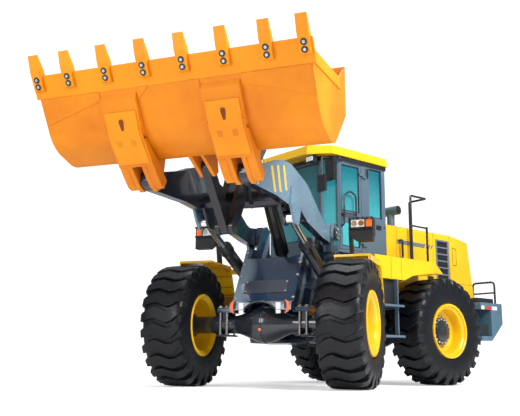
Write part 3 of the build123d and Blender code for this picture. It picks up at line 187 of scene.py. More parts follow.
def metal(name, colour, rough):
    m = Mat(name)
    stretch = m.add("ShaderNodeMapping")
    stretch.inputs["Scale"].default_value = (1, 1, 12)
    m.link(m.pos, stretch.inputs["Vector"])
    n = m.noise(60, 4, 0.6, stretch.outputs["Vector"])
    m.set(Base_Color=colour, Metallic=1.0, Roughness=m.span(n, 0.3, 0.7, rough * 0.7, rough * 1.4))
    m.bumped(n, 0.08, 0.0005, 0.003)
    return m.m


def glass(name, low, high, alpha):
    """Tinted panes, darker towards the roof."""
    m = Mat(name)
    m.set(Base_Color=m.mix(m.span(m.height(), 2.2, 3.1, 0, 1), low, high), Alpha=alpha)
    m.set(Roughness=m.span(m.noise(2, 2), 0.3, 0.7, 0.02, 0.05), Coat_Weight=1.0, Coat_Roughness=0.02)
    return m.m


def lens(name, colour, painted_glow):
    """Ribbed lamp glass with a painted glow, which also shows on the tower reflectors and the axle plug,
    though they are no lamps.
    """
    m = Mat(name)
    m.set(Base_Color=m.mix(m.noise(40, 2), colour, tuple(0.8 * c for c in colour)), Roughness=0.12)
    m.set(Coat_Weight=1.0, Emission_Color=colour, Emission_Strength=painted_glow)
    m.bumped(m.noise(150, 1), 0.4, 0.002)
    return m.m


YELLOW = paint("yellow", (0.92, 0.56, 0.006), (0.85, 0.46, 0.005), coat=0.4)
# a darker copy of the yellow: painted shade under the fenders
YELLOW_SHADED = paint("yellow_shaded", (0.62, 0.26, 0.01), (0.45, 0.16, 0.008), rough=0.5, coat=0.1)
ORANGE = paint("orange", (0.82, 0.265, 0.0), (0.66, 0.17, 0.0), rough=0.5, coat=0.0)
ORANGE_LIGHT = paint("orange_light", (0.86, 0.31, 0.0), (0.78, 0.24, 0.0), rough=0.48, coat=0.0)
# a dark copy of the orange: painted shade in the bracket slots
ORANGE_SHADED = paint("orange_shaded", (0.22, 0.05, 0.002), (0.15, 0.03, 0.002), rough=0.6, coat=0.0)
# the steel blue carries painted reflections, slanting bands of a lighter blue
STEEL_BLUE = paint(
    "steel_blue", (0.018, 0.042, 0.085), (0.008, 0.018, 0.040), rough=0.16, coat=1.0, metal=0.3,
    painted_reflection=(0.20, 0.26, 0.33),
)
# lit and shaded copies of the arms' one paint: painted light for the outer faces, painted shade for the rest
ARM_LIT_SIDE = paint("arm_lit_side", (0.15, 0.26, 0.35), (0.11, 0.20, 0.28), rough=0.24, coat=0.8)
ARM_SHADED = paint("arm_shaded", (0.010, 0.012, 0.020), (0.016, 0.019, 0.030), rough=0.22, coat=0.6)
BLUE_GREY = paint("blue_grey", (0.11, 0.165, 0.22), (0.08, 0.125, 0.17), rough=0.33, coat=0.4)
WEIGHT_BLUE = paint("weight_blue", (0.10, 0.19, 0.26), (0.07, 0.145, 0.20), rough=0.3, coat=0.5)
AXLE_GREY = paint("axle_grey", (0.032, 0.040, 0.052), (0.016, 0.020, 0.028), rough=0.2, coat=0.9, metal=0.3)
BLACK = paint("black", (0.008, 0.009, 0.012), (0.014, 0.016, 0.02), rough=0.3, coat=0.6)
DARK = paint("dark", (0.022, 0.025, 0.03), (0.012, 0.014, 0.018), rough=0.5, coat=0.1)
BARE_PLATE = paint("plate_dark", (0.035, 0.04, 0.055), (0.03, 0.033, 0.045), rough=0.3, coat=0.4)
STRIPE_YELLOW = paint("stripe_yellow", (0.95, 0.62, 0.02), (0.92, 0.58, 0.02), rough=0.3, edge=0)
STRIPE_GREY = paint("stripe_grey", (0.16, 0.18, 0.21), (0.14, 0.16, 0.19), rough=0.3, edge=0)
WHITE = paint("white", (0.82, 0.84, 0.82), (0.75, 0.78, 0.76), rough=0.35, coat=0.3, edge=0)
RED = paint("red", (0.75, 0.03, 0.02), (0.6, 0.02, 0.015), rough=0.3, edge=0)
SEAM = paint("seam", (0.30, 0.16, 0.01), (0.22, 0.12, 0.01), rough=0.6, coat=0.0, edge=0)
CHROME = metal("chrome", (0.86, 0.85, 0.83), 0.1)
BARE = metal("bare_steel", (0.55, 0.56, 0.58), 0.3)
TYRE = rubber("tyre_rubber", (0.0015, 0.002, 0.0035), (0.005, 0.007, 0.011))
FABRIC = rubber("seat_cover", (0.02, 0.02, 0.024), (0.04, 0.04, 0.045))
PANE = glass("pane", (0.08, 0.55, 0.62), (0.0, 0.17, 0.22), 0.68)
# the lenses' emission is a painted glow
LENS_WHITE = lens("lens_white", (0.85, 0.88, 0.9), 0.15)
LENS_ORANGE = lens("lens_orange", (0.9, 0.16, 0.03), 0.2)


def piece(name, part, mat, body, place=None, smooth=None, bevel=0.0, over=(), slot=None):
    """A mesh from (verts, faces), riding a body of the CAD."""
    me = bpy.data.meshes.new(name)
    me.from_pydata([tuple(v) for v in part[0]], [], part[1])
    bm = bmesh.new()
    bm.from_mesh(me)
    bmesh.ops.recalc_face_normals(bm, faces=bm.faces)
    bm.to_mesh(me)
    bm.free()
    if place is not None:
        me.transform(place)
    me.materials.append(mat)
    ob = bpy.data.objects.new(name, me)
    bpy.context.scene.collection.objects.link(ob)
    if bevel:
        b = ob.modifiers.new("bevel", "BEVEL")
        b.width, b.segments, b.limit_method, b.angle_limit = bevel, 2, "ANGLE", radians(28)
        b.harden_normals = True
    if smooth or bevel:
        me.shade_smooth()
        me.set_sharp_from_angle(angle=radians(smooth or 35))
    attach(ob, body)
    if over:
        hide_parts(*over)
    return ob


def join(*parts):
    """Several (verts, faces) as one."""
    vs, fs = [], []
    for v, f in parts:
        n = len(vs)
        vs += list(v)
        fs += [tuple(i + n for i in g) for g in f]
    return vs, fs


def slab(outline, lo, hi):
    """Outline (x, z) pushed from y = lo to y = hi."""
    n = len(outline)
    vs = [(x, lo, z) for x, z in outline] + [(x, hi, z) for x, z in outline]
    fs = [tuple(range(n)), tuple(range(n, 2 * n))[::-1]]
    fs += [(i, (i + 1) % n, n + (i + 1) % n, n + i) for i in range(n)]
    return vs, fs


def oblong(left, right, low, high):
    """The outline of an oblong."""
    return [(left, low), (right, low), (right, high), (left, high)]


def block(lo, hi):
    return slab(oblong(lo[0], hi[0], lo[2], hi[2]), lo[1], hi[1])


def flat(outline, lo, hi):
    """Outline (x, y) pushed from z = lo to z = hi."""
    vs, fs = slab(outline, lo, hi)
    return [(x, y, z) for x, z, y in vs], fs


def facing(outline, lo, hi):
    """Outline (y, z) pushed from x = lo to x = hi."""
    vs, fs = slab(outline, lo, hi)
    return [(x, y, z) for y, x, z in vs], fs


def mirrored(*parts):
    """The parts and their images on the other side."""
    whole = join(*parts)
    return join(whole, ([(v[0], -v[1], v[2]) for v in whole[0]], whole[1]))


def moved(part, by):
    """The part, shifted by a vector."""
    return [tuple(a + b for a, b in zip(v, by)) for v in part[0]], part[1]


def lathe(profile, n=48):
    """Profile (radius, y) turned about Y."""
    vs = [(r * cos(2 * pi * k / n), y, r * sin(2 * pi * k / n)) for k in range(n) for r, y in profile]
    p = len(profile)
    fs = []
    for k in range(n):
        a, b = k * p, (k + 1) % n * p
        fs += [(a + i, a + i + 1, b + i + 1, b + i) for i in range(p - 1)]
    return vs, fs


def rod(a, b, r, n=20, r2=None):
    """A closed round bar from a to b."""
    a, b = Vector(a), Vector(b)
    q = Matrix.Translation(a) @ (b - a).to_track_quat("Z", "Y").to_matrix().to_4x4()
    long, r2 = (b - a).length, r if r2 is None else r2
    vs = [(r * cos(2 * pi * k / n), r * sin(2 * pi * k / n), 0) for k in range(n)]
    vs += [(r2 * cos(2 * pi * k / n), r2 * sin(2 * pi * k / n), long) for k in range(n)]
    fs = [tuple(range(n))[::-1], tuple(range(n, 2 * n))]
    fs += [(k, (k + 1) % n, n + (k + 1) % n, n + k) for k in range(n)]
    return [q @ Vector(v) for v in vs], fs


def bolts(points, out, size, high):
    """Hexagon heads on round washers at points, standing along out."""
    out = Vector(out).normalized()
    heads = [rod(p, Vector(p) + out * high, size, 6) for p in points]
    return join(*heads, *[rod(p, Vector(p) + out * high * 0.3, size * 1.5, 16) for p in points])


def tube(name, points, r, mat, body, place=REAR, round_at=0.08, cyclic=False):
    """A bent tube with rounded corners, a mesh from a bevelled curve."""
    cu = bpy.data.curves.new(name, "CURVE")
    cu.dimensions, cu.bevel_depth, cu.bevel_resolution, cu.use_fill_caps = "3D", r, 3, True
    pts = [Vector(p) for p in points]
    if cyclic:
        pts = [(pts[-1] + pts[0]) / 2, *pts, (pts[-1] + pts[0]) / 2]
    path = [pts[0]]
    for a, b, c in zip(pts, pts[1:], pts[2:]):
        d = min(round_at, (a - b).length / 2.1, (c - b).length / 2.1)
        p, q = b + (a - b).normalized() * d, b + (c - b).normalized() * d
        for k in range(9):
            t = k / 8
            path.append(p * (1 - t) ** 2 + b * 2 * t * (1 - t) + q * t * t)
    path.append(pts[-1])
    sp = cu.splines.new("POLY")
    sp.points.add(len(path) - 1)
    for s, p in zip(sp.points, path):
        s.co = (*(place @ p), 1)
    shell = bpy.data.objects.new(name + "_curve", cu)
    me = bpy.data.meshes.new_from_object(shell)
    me.name = name
    bpy.data.objects.remove(shell)
    me.materials.clear()
    me.materials.append(mat)
    me.shade_smooth()
    ob = bpy.data.objects.new(name, me)
    bpy.context.scene.collection.objects.link(ob)
    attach(ob, body)
    return ob


# Wheels
RIM_R, TYRE_R, LUGS = 0.400, 0.78, 24


def tyre_mesh():
    """A carcass with wavy rock lugs that reach over both shoulders."""
    half = [(RIM_R, 0.235), (RIM_R + 0.02, 0.262), (RIM_R + 0.10, 0.275), (0.60, 0.279), (0.665, 0.270)]
    half += [(0.705, 0.252), (0.728, 0.225), (0.737, 0.18), (0.74, 0)]
    carcass = lathe([(r, -y) for r, y in half] + half[::-1][1:], 96)
    # stations across a lug: y, radius on top, radius at the foot, half width
    st = [(-0.2795, 0.60, 0.590, 0.030), (-0.279, 0.672, 0.60, 0.034), (-0.274, 0.722, 0.66, 0.040)]
    st += [(-0.262, 0.758, 0.70, 0.046), (-0.235, 0.774, 0.72, 0.052), (-0.16, 0.779, 0.73, 0.064)]
    st += [(-0.08, TYRE_R, 0.73, 0.070), (0.0, TYRE_R, 0.73, 0.072)]
    st += [(-y, t, f, w) for y, t, f, w in st[::-1][1:]]
    # the lug's middle line: y, shift round the tyre
    wave = [(-0.29, -0.070), (-0.15, 0.026), (-0.09, 0.040), (-0.03, 0.020), (0.05, -0.022)]
    wave += [(0.11, -0.026), (0.29, 0.060)]

    def shift(y):
        for (a, s), (b, t) in zip(wave, wave[1:]):
            if y <= b:
                return s + (t - s) * (y - a) / (b - a)
        return wave[-1][1]

    parts = [carcass]
    for k in range(LUGS):
        start = 2 * pi * (k + 0.5) / LUGS
        vs, fs = [], []
        for y, top, foot, w in st:
            ring = [(foot, 1.16), (top - 0.004, 1.03), (top, 0.96)]
            ring += [(r, -share) for r, share in ring[::-1]]
            for r, share in ring:
                t = start + (shift(y) + share * w) / TYRE_R
                vs.append((r * cos(t), y, r * sin(t)))
        for i in range(len(st) - 1):
            fs += [(i * 6 + j, i * 6 + j + 1, i * 6 + 7 + j, i * 6 + 6 + j) for j in range(5)]
        n = (len(st) - 1) * 6
        fs += [(5, 4, 3, 2, 1, 0), (n, n + 1, n + 2, n + 3, n + 4, n + 5)]
        parts.append((vs, fs))
    return join(*parts)


def bolt_ring(radius, count, y, size, high):
    turns = [2 * pi * k / count for k in range(count)]
    return bolts([(radius * cos(t), y, radius * sin(t)) for t in turns], (0, 1, 0), size, high)


# Profiles of the wheel as (radius, y)
RIM = [
    (RIM_R - 0.002, 0.215), (RIM_R, 0.250), (RIM_R - 0.006, 0.268), (RIM_R - 0.022, 0.272),
    (RIM_R - 0.036, 0.262), (RIM_R - 0.042, 0.240), (0.342, 0.225), (0.328, 0.222), (0.318, 0.205),
    (0.316, 0.12), (0.310, 0.065), (0.285, 0.052), (0.19, 0.050),
]
INNER = [
    (RIM_R - 0.002, -0.215), (RIM_R, -0.25), (RIM_R - 0.02, -0.265), (RIM_R - 0.04, -0.245),
    (0.330, -0.225), (0.318, -0.12), (0.316, 0.045), (0.19, 0.047),
]
HUB = [
    (0.200, 0.040), (0.200, 0.098), (0.190, 0.106), (0.150, 0.110), (0.146, 0.128), (0.110, 0.134),
    (0.06, 0.138), (0.055, 0.150), (0.0005, 0.152),
]
tyre_part = tyre_mesh()
rim_part = join(lathe(RIM, 64), lathe(INNER, 64))
nut_part = join(bolt_ring(0.172, 16, 0.104, 0.011, 0.016), bolt_ring(0.235, 20, 0.050, 0.012, 0.02))
for corner, base, x, side in (
    ("front_left", FRONT, AXLE_X, 1), ("front_right", FRONT, AXLE_X, -1),
    ("rear_left", REAR, -AXLE_X, 1), ("rear_right", REAR, -AXLE_X, -1),
):
    hub = base @ at(x, side * HALF_TRACK, AXLE_Z) @ rz(90 - 90 * side)
    body = f"wheel_{corner}"
    tyre, rim = f"tyre_{corner}", f"rim_{corner}"
    piece(f"tyre_look_{corner}", tyre_part, TYRE, body, hub, smooth=32, over=(tyre,), slot="tyre_rubber")
    piece(f"rim_look_{corner}", rim_part, YELLOW, body, hub, smooth=30, over=(rim,), slot="paint_yellow")
    piece(f"hub_look_{corner}", lathe(HUB, 48), AXLE_GREY, body, hub, smooth=30)
    piece(f"wheel_nuts_{corner}", nut_part, BARE, body, hub, smooth=30)

# Bucket: bolts of the teeth, wear plates under the floor, plates on its sides and on the brackets
EDGE_X, FLOOR_Z = 1.254, -0.222
TOOTH_FACE = FLOOR_Z - 0.0355
TOOTH_YS = (0.21, 0.633, 1.059, 1.42)
BEHIND_EDGE = (0.035, 0.105)
BRACKET_Y = 0.55

bolt_places = [
    (EDGE_X - behind, side * y, TOOTH_FACE)
    for y in TOOTH_YS
    for side in (-1, 1)
    for behind in BEHIND_EDGE
]
# dark discs round the tooth bolts: painted shade in their recesses
recess_shades = [rod(p, Vector(p) - Vector((0, 0, 0.004)), 0.032, 24) for p in bolt_places]
piece("tooth_recess_shades", join(*recess_shades), BLACK, "bucket", BUCKET, smooth=30)
piece("tooth_bolts", bolts(bolt_places, (0, 0, -1), 0.016, 0.010), BARE, "bucket", BUCKET, smooth=30)


def wear_plate(outline):
    """A thin plate under the floor, its outline as (distance behind the edge, y)."""
    return flat([(EDGE_X - behind, y) for behind, y in outline], FLOOR_Z - 0.008, FLOOR_Z)


wear = [
    wear_plate([(0.24, 0.76), (0.24, 1.45), (0.52, 1.45), (0.33, 0.76)]),
    wear_plate([(0.24, 0.34), (0.24, 0.20), (0.36, 0.34)]),
]
piece("bucket_wear_plates", mirrored(*wear), ORANGE, "bucket", BUCKET, bevel=0.003)
side_edge = slab([(1.16, -0.18), (0.71, 0.73), (0.60, 0.68), (1.02, -0.18)], 1.459, 1.472)
piece("bucket_side_edges", mirrored(side_edge), ORANGE_LIGHT, "bucket", BUCKET, bevel=0.004)
plate = [(0.80, -0.272), (0.80, -0.287), (0.56, -0.304), (0.24, -0.224), (0.24, -0.205)]
bracket_plate = slab(plate, BRACKET_Y - 0.175, BRACKET_Y + 0.175)
piece("bracket_plates", mirrored(bracket_plate), ORANGE_LIGHT, "bucket", BUCKET, bevel=0.005)

# Horns: the solid cheeks on both sides of an ear, ending in a chamfer at the hinge
HORN_NEAR, HORN_FAR = 0.106, 0.198
horn = [(0.50, -0.262), (0.10, -0.168), (-0.035, -0.122), (-0.085, -0.075), (-0.03, 0.02)]
horn += [(0.20, -0.06), (0.50, -0.21)]
web = [(0.60, -0.299), (0.20, -0.200), (0.205, -0.180), (0.60, -0.278)]
cheeks = [
    slab(horn, BRACKET_Y - HORN_FAR, BRACKET_Y - HORN_NEAR),
    slab(horn, BRACKET_Y + HORN_NEAR, BRACKET_Y + HORN_FAR),
    slab(web, BRACKET_Y - HORN_FAR, BRACKET_Y + HORN_FAR),
]
piece("bracket_horns", mirrored(*cheeks), ORANGE, "bucket", BUCKET, bevel=0.008)


def half_circle(x, y, r, start):
    """Points round (x, y), half a turn on from an angle."""
    turns = [start + pi * k / 12 for k in range(13)]
    return [(x + r * cos(t), y + r * sin(t)) for t in turns]


def slot_at(x, y, z):
    """A long hole drawn as an inset of darker orange, painted shade inside the hole, wide at one end."""
    wide = half_circle(x + 0.035, y, 0.026, -pi / 2)
    thin = half_circle(x - 0.055, y, 0.014, pi / 2)
    return flat(wide + thin, z, z + 0.004)


slots = [slot_at(0.665, side * BRACKET_Y, -0.3005) for side in (-1, 1)]
piece("bracket_slots", join(*slots), ORANGE_SHADED, "bucket", BUCKET)

# Arms: plain slanted bars on the outer faces, caps on the pins
ARM_FACE, EAR_FACE = 0.600, 0.66
bars = [
    [(2.60, 0.235), (2.535, 0.262), (2.41, -0.02), (2.475, -0.02)],
    [(2.40, 0.300), (2.335, 0.322), (2.225, 0.030), (2.29, 0.030)],
    [(2.19, 0.365), (2.125, 0.375), (2.025, 0.10), (2.09, 0.10)],
    [(3.055, 0.065), (3.00, 0.085), (2.955, -0.07), (3.005, -0.07)],
]
arm_bars = [slab(bar, ARM_FACE, ARM_FACE + 0.0015) for bar in bars]
piece("arm_bars", mirrored(*arm_bars), STRIPE_YELLOW, "arms", ARMS)


def pin_cap(pin, face, high, radius, top, n):
    """A shallow cone over the end of a pin, standing on a face."""
    x, z = pin[0], pin[2]
    return rod((x, face, z), (x, face + high, z), radius, n, top)


caps = [pin_cap(LIFT_PIN, EAR_FACE, 0.018, 0.105, 0.098, 40)]
caps.append(pin_cap(LIFT_BASE, EAR_FACE, 0.015, 0.075, 0.07, 36))
piece("pin_caps", mirrored(*caps), AXLE_GREY, "front", FRONT, smooth=30)
lift_pin_bolts = bolt_ring(0.075, 6, EAR_FACE + 0.018, 0.011, 0.012)
piece("pin_cap_bolts", mirrored(moved(lift_pin_bolts, LIFT_PIN)), BARE, "front", FRONT, smooth=30)
hinge_cap = pin_cap((ARM_LENGTH, 0, 0), 0.6555, 0.0125, 0.062, 0.056, 36)
piece("bucket_pin_caps", mirrored(hinge_cap), AXLE_GREY, "bucket", ARMS, smooth=30)


# Cylinders: collars and gland rings round the mouth of each barrel
def on_arms(point):
    """A point of the arms, seen from the front frame."""
    return Vector(LIFT_PIN) + raised(LIFT).to_3x3() @ Vector(point)


def collar(base, eye, y, reach, radius):
    """Two flanged rings over the end of a barrel."""
    run = (on_arms(eye) - Vector(base)).normalized()
    foot = Vector(base) + Vector((0, y, 0))
    back, middle, front = [foot + run * (reach - short) for short in (0.13, 0.09, 0)]
    head = rod(middle, front, radius + 0.014, 40)
    lip = rod(back, middle, radius + 0.004, 40, radius + 0.014)
    return join(head, lip)


for name, side in SIDES:
    ring = collar(LIFT_BASE, LIFT_EYE, side * 0.55, 1.045, 0.082)
    piece(f"lift_collar_{name}", ring, BLACK, f"lift_barrel_{name}", FRONT, smooth=30)
ring = collar(TILT_BASE, TILT_EYE, 0, 1.075, 0.095)
piece("tilt_collar", ring, BLACK, "tilt_barrel", FRONT, smooth=30)

# Tower: plate on the nose, reflectors, blank plates, lining of the arch
NOSE_FOOT, NOSE_UP, NOSE_OUT = (1.78, 1.06), (-0.545, 0.8385), (0.8385, 0.545)
MOON_Y, MOON_Z, MOON_HIGH = 0.32, 0.985, 0.083
TOWER_FACE = 1.889


def nose(up, out):
    """A point (x, z) of the sloping nose, that far up the slope and out of it."""
    return tuple(f + up * u + out * o for f, u, o in zip(NOSE_FOOT, NOSE_UP, NOSE_OUT))


def nose_bolts(ups, y, out, size, high):
    """Bolts on both sides of the nose, at each height up the slope."""
    places = [nose(up, out) for up in ups]
    points = [(x, side * y, z) for x, z in places for side in (-1, 1)]
    return bolts(points, (NOSE_OUT[0], 0, NOSE_OUT[1]), size, high)


nose_plate = slab([nose(0.13, 0), nose(0.33, 0), nose(0.33, 0.010), nose(0.13, 0.010)], -0.29, 0.29)
piece("nose_plate", nose_plate, BARE_PLATE, "front", FRONT, bevel=0.003)
plate_bolts = nose_bolts((0.155, 0.305), 0.27, 0.010, 0.008, 0.006)
piece("nose_plate_bolts", plate_bolts, BARE, "front", FRONT, smooth=30)
tower_bolts = nose_bolts((0.06, 0.42, 0.62, 0.82), 0.385, 0.0, 0.011, 0.010)
piece("tower_bolts", tower_bolts, BARE, "front", FRONT, smooth=30)


def half_moon(side, inner, outer, thick):
    """A moon shape standing on the tower's foot, its round side outwards."""
    turns = [pi * (k / 16 - 0.5) for k in range(17)]
    edge = [(outer * cos(t), MOON_HIGH * sin(t)) for t in turns]
    edge += [(inner * cos(t), MOON_HIGH * sin(t)) for t in turns[15:0:-1]]
    return facing([(side * (MOON_Y + y), MOON_Z + z) for y, z in edge], TOWER_FACE, TOWER_FACE + thick)


# the orange reflectors glow with the lens emission: painted light
red_moons = [half_moon(side, 0.035, 0.075, 0.011) for side in (-1, 1)]
piece("tower_reflectors", join(*red_moons), LENS_ORANGE, "front", FRONT, bevel=0.002)
dark_moons = [half_moon(side, 0.001, 0.034, 0.008) for side in (-1, 1)]
piece("tower_reflector_backs", join(*dark_moons), BLACK, "front", FRONT, bevel=0.001)
blank = facing(oblong(0.215, 0.275, 0.90, 1.035), TOWER_FACE - 0.001, TOWER_FACE + 0.009)
piece("tower_blank_plates", mirrored(blank), WHITE, "front", FRONT, bevel=0.002)
arch = [radians(40 + 100 * k / 10) for k in range(11)]
arch_route = [(TOWER_FACE + 0.004, 0.272 * cos(t), AXLE_Z + 0.272 * sin(t)) for t in arch]
tube("arch_lining", arch_route, 0.013, BLACK, "front", FRONT, 0.02)

# Front axle: clamp bolts through the seats, plates over and under them, plug of the housing
clamp_places = [(x, y) for x in (1.525, 1.775) for y in (0.483, 0.573)]
clamp_rods = [rod((x, y, 0.645), (x, y, 0.992), 0.016, 16) for x, y in clamp_places]
piece("clamp_bolts", mirrored(*clamp_rods), CHROME, "front", FRONT, smooth=30)
clamp_nuts = bolts([(x, y, 0.986) for x, y in clamp_places], (0, 0, 1), 0.024, 0.026)
piece("clamp_nuts", mirrored(clamp_nuts), BARE, "front", FRONT, smooth=30)
clamp_levels = ((0.9755, 0.988), (0.630, 0.650))
clamp_plates = [block((1.49, 0.445, low), (1.81, 0.61, high)) for low, high in clamp_levels]
piece("clamp_plates", mirrored(*clamp_plates), BLACK, "front", FRONT, bevel=0.004)
# the orange plug glows with the lens emission: painted light
axle_plug = rod((1.868, 0, 0.71), (1.889, 0, 0.706), 0.020, 6)
piece("axle_plug", axle_plug, LENS_ORANGE, "front", FRONT, smooth=30)
flange = [(0.236, -0.012), (0.240, -0.008), (0.240, 0.008), (0.236, 0.012)]
piece("axle_flange", lathe(flange, 64), AXLE_GREY, "front", FRONT @ at(AXLE_X, 0, AXLE_Z), smooth=30)


# Front fenders: ribbed back walls and inner lips in a darker yellow for painted shade, reflectors on the
# lips
def rib(x, z):
    """A round rib across the back wall."""
    return rod((x, 0.86, z), (x, 1.30, z), 0.008, 12)


walls = [slab([(0.620, 1.239), (0.634, 1.236), (0.640, 0.95), (0.626, 0.95)], 0.85, 1.31)]
walls += [rib(0.656 + (z - 1.228) * 0.3827, z) for z in (1.51, 1.36, 1.25)]
walls += [rib(0.642, z) for z in (1.12, 0.99)]
piece("fender_backs", mirrored(*walls), YELLOW_SHADED, "front", FRONT, smooth=30)
inner_lip = slab([(1.49, 1.615), (0.81, 1.615), (0.80, 1.575), (1.49, 1.575)], 0.851, 0.863)
piece("fender_inner_lips", mirrored(inner_lip), YELLOW_SHADED, "front", FRONT, bevel=0.003)
for name, mat, near, far in (("red", RED, 1.425, 1.485), ("white", WHITE, 1.355, 1.415)):
    patch = block((near, 1.3095, 1.588), (far, 1.3125, 1.636))
    piece(f"fender_reflectors_{name}", mirrored(patch), mat, "front", FRONT, bevel=0.001)

# Work lamps: lenses behind a toothed guard, over a plain housing
LAMP_FACE, LAMP_LOW, LAMP_TOP = 1.085, 2.065, 2.165
white = facing(oblong(0.985, 1.165, LAMP_LOW, LAMP_TOP), LAMP_FACE, LAMP_FACE + 0.012)
piece("lamp_lenses_white", mirrored(white), LENS_WHITE, "front", FRONT, bevel=0.004)
amber = facing(oblong(1.18, 1.262, LAMP_LOW, LAMP_TOP), LAMP_FACE, LAMP_FACE + 0.012)
piece("lamp_lenses_amber", mirrored(amber), LENS_ORANGE, "front", FRONT, bevel=0.004)
bulbs = [rod((1.097, y, 2.115), (1.102, y, 2.115), 0.038, 32) for y in (1.03, 1.12)]
piece("lamp_bulbs", mirrored(*bulbs), CHROME, "front", FRONT, smooth=30)
guard = []
for k in range(6):
    y = 0.965 + k * 0.060
    for low, high in ((2.166, 2.190), (2.040, 2.060)):
        guard.append(block((1.05, y - 0.012, low), (1.118, y + 0.012, high)))
for low, high in ((2.186, 2.194), (2.036, 2.044)):
    guard.append(block((1.106, 0.95, low), (1.116, 1.28, high)))
guard.append(block((1.086, 1.168, 2.05), (1.110, 1.177, 2.18)))
piece("lamp_guards", mirrored(*guard), BLACK, "front", FRONT, bevel=0.002)
housing = [(0.955, 2.028), (1.275, 2.028), (1.275, 1.875), (1.06, 1.875), (0.955, 1.95)]
piece("lamp_housings", mirrored(facing(housing, 0.975, 1.10)), DARK, "front", FRONT, bevel=0.006)

# Cab: band under the roof, gaskets of the panes, latch, handles, wiper
CAB_PLAN = [(-1.0, -0.75), (-0.01, -0.75), (0.18, -0.56), (0.18, 0.56), (-0.01, 0.75), (-1.0, 0.75)]
CAB_SIDE, RAIL_OUT = 0.7495, 0.80
DOOR_PANES = ((2.469, 3.159), (1.95, 2.348))


def ring_band(plan, out, lo, hi):
    """A band round a plan, standing out by that much."""
    middle = Vector((sum(x for x, y in plan), sum(y for x, y in plan))) / len(plan)
    wide = [Vector(p) + (Vector(p) - middle).normalized() * out for p in plan]
    n = len(plan)
    vs = [(*p, z) for z in (lo, hi) for ring in (plan, wide) for p in ring]
    fs = []
    for k in range(n):
        m = (k + 1) % n
        fs += [(k, m, n + m, n + k), (2 * n + k, 2 * n + m, 3 * n + m, 3 * n + k)]
        fs += [(n + k, n + m, 3 * n + m, 3 * n + k), (k, m, 2 * n + m, 2 * n + k)]
    return vs, fs


def gasket(left, right, low, high, wide=0.014):
    """The edge of a pane as four bars."""
    level = [oblong(left, right, low, low + wide), oblong(left, right, high - wide, high)]
    upright = [oblong(left, left + wide, low, high), oblong(right - wide, right, low, high)]
    return level + upright


piece("roof_band", ring_band(CAB_PLAN, 0.022, 3.205, 3.268), BLACK, "root", REAR, bevel=0.003)
front_gasket = [facing(bar, 0.158, 0.166) for bar in gasket(-0.519, 0.519, 2.061, 3.189, 0.018)]
piece("windscreen_gasket", join(*front_gasket), BLACK, "root", REAR)
quarter = [slab(bar, 0.7245, 0.735) for bar in gasket(-0.919, -0.641, 2.439, 3.189)]
piece("quarter_gaskets", mirrored(*quarter), BLACK, "root", REAR)
hoop = [
    (-0.045, 0.748, 2.24), (-0.045, RAIL_OUT, 2.25), (-0.06, RAIL_OUT, 2.69), (-0.17, RAIL_OUT, 2.76),
    (-0.30, RAIL_OUT, 2.71), (-0.30, RAIL_OUT, 2.33), (-0.30, 0.748, 2.32),
]
for name, side in SIDES:
    body = f"door_{name}"
    bars = [bar for low, high in DOOR_PANES for bar in gasket(-0.423, -0.057, low, high)]
    frames = [slab(bar, side * 0.7345, side * 0.742) for bar in bars]
    piece(f"door_gaskets_{name}", join(*frames), BLACK, body, REAR)
    handle = block((-0.115, side * 0.749, 2.375), (-0.045, side * 0.765, 2.425))
    piece(f"door_handle_{name}", handle, BLACK, body, REAR, bevel=0.006)
    route = [(x, side * y, z) for x, y, z in hoop]
    tube(f"door_rail_{name}", route, 0.013, BLACK, body, REAR, 0.06)
    rail_bar = rod((-0.05, side * RAIL_OUT, 2.42), (-0.30, side * RAIL_OUT, 2.42), 0.010, 16)
    piece(f"door_rail_bar_{name}", rail_bar, BLACK, body, REAR, smooth=30)
latch = [block((-0.893, CAB_SIDE, 2.267), (-0.783, 0.758, 2.335))]
latch.append(rod((-0.958, CAB_SIDE, 2.311), (-0.958, 0.757, 2.311), 0.014, 20))
latch.append(block((-0.615, CAB_SIDE, 3.02), (-0.575, 0.768, 3.17)))
piece("side_latches", mirrored(*latch), BLACK, "root", REAR, bevel=0.003)
wiper = [rod((0.185, 0.10, 2.08), (0.190, 0.10, 2.12), 0.016, 16)]
wiper.append(rod((0.182, 0.10, 2.10), (0.176, -0.22, 2.72), 0.007, 10))
wiper.append(rod((0.172, -0.16, 2.42), (0.172, -0.28, 3.00), 0.006, 8))
piece("wiper", join(*wiper), BLACK, "root", REAR, smooth=30)
roof_lens = facing(oblong(-0.55, -0.41, 3.185, 3.255), 0.3245, 0.332)
piece("roof_lenses", mirrored(roof_lens), LENS_WHITE, "root", REAR, bevel=0.004)

# Seat: a cushion and a back on their frame
SEAT = {"over": ("seat",), "slot": "seat_black"}
cushion = block((-0.62, -0.24, 2.297), (-0.20, 0.24, 2.417))
seat_cushion = piece("seat_cushion", cushion, FABRIC, "root", REAR, bevel=0.035, **SEAT)
back = slab([(-0.645, 2.33), (-0.76, 2.903), (-0.66, 2.923), (-0.56, 2.417)], -0.24, 0.24)
seat_back = piece("seat_back", back, FABRIC, "root", REAR, bevel=0.03, **SEAT)
seat_base = block((-0.58, -0.15, 1.9205), (-0.28, 0.15, 2.31))
piece("seat_base", seat_base, DARK, "root", REAR, bevel=0.012, **SEAT)

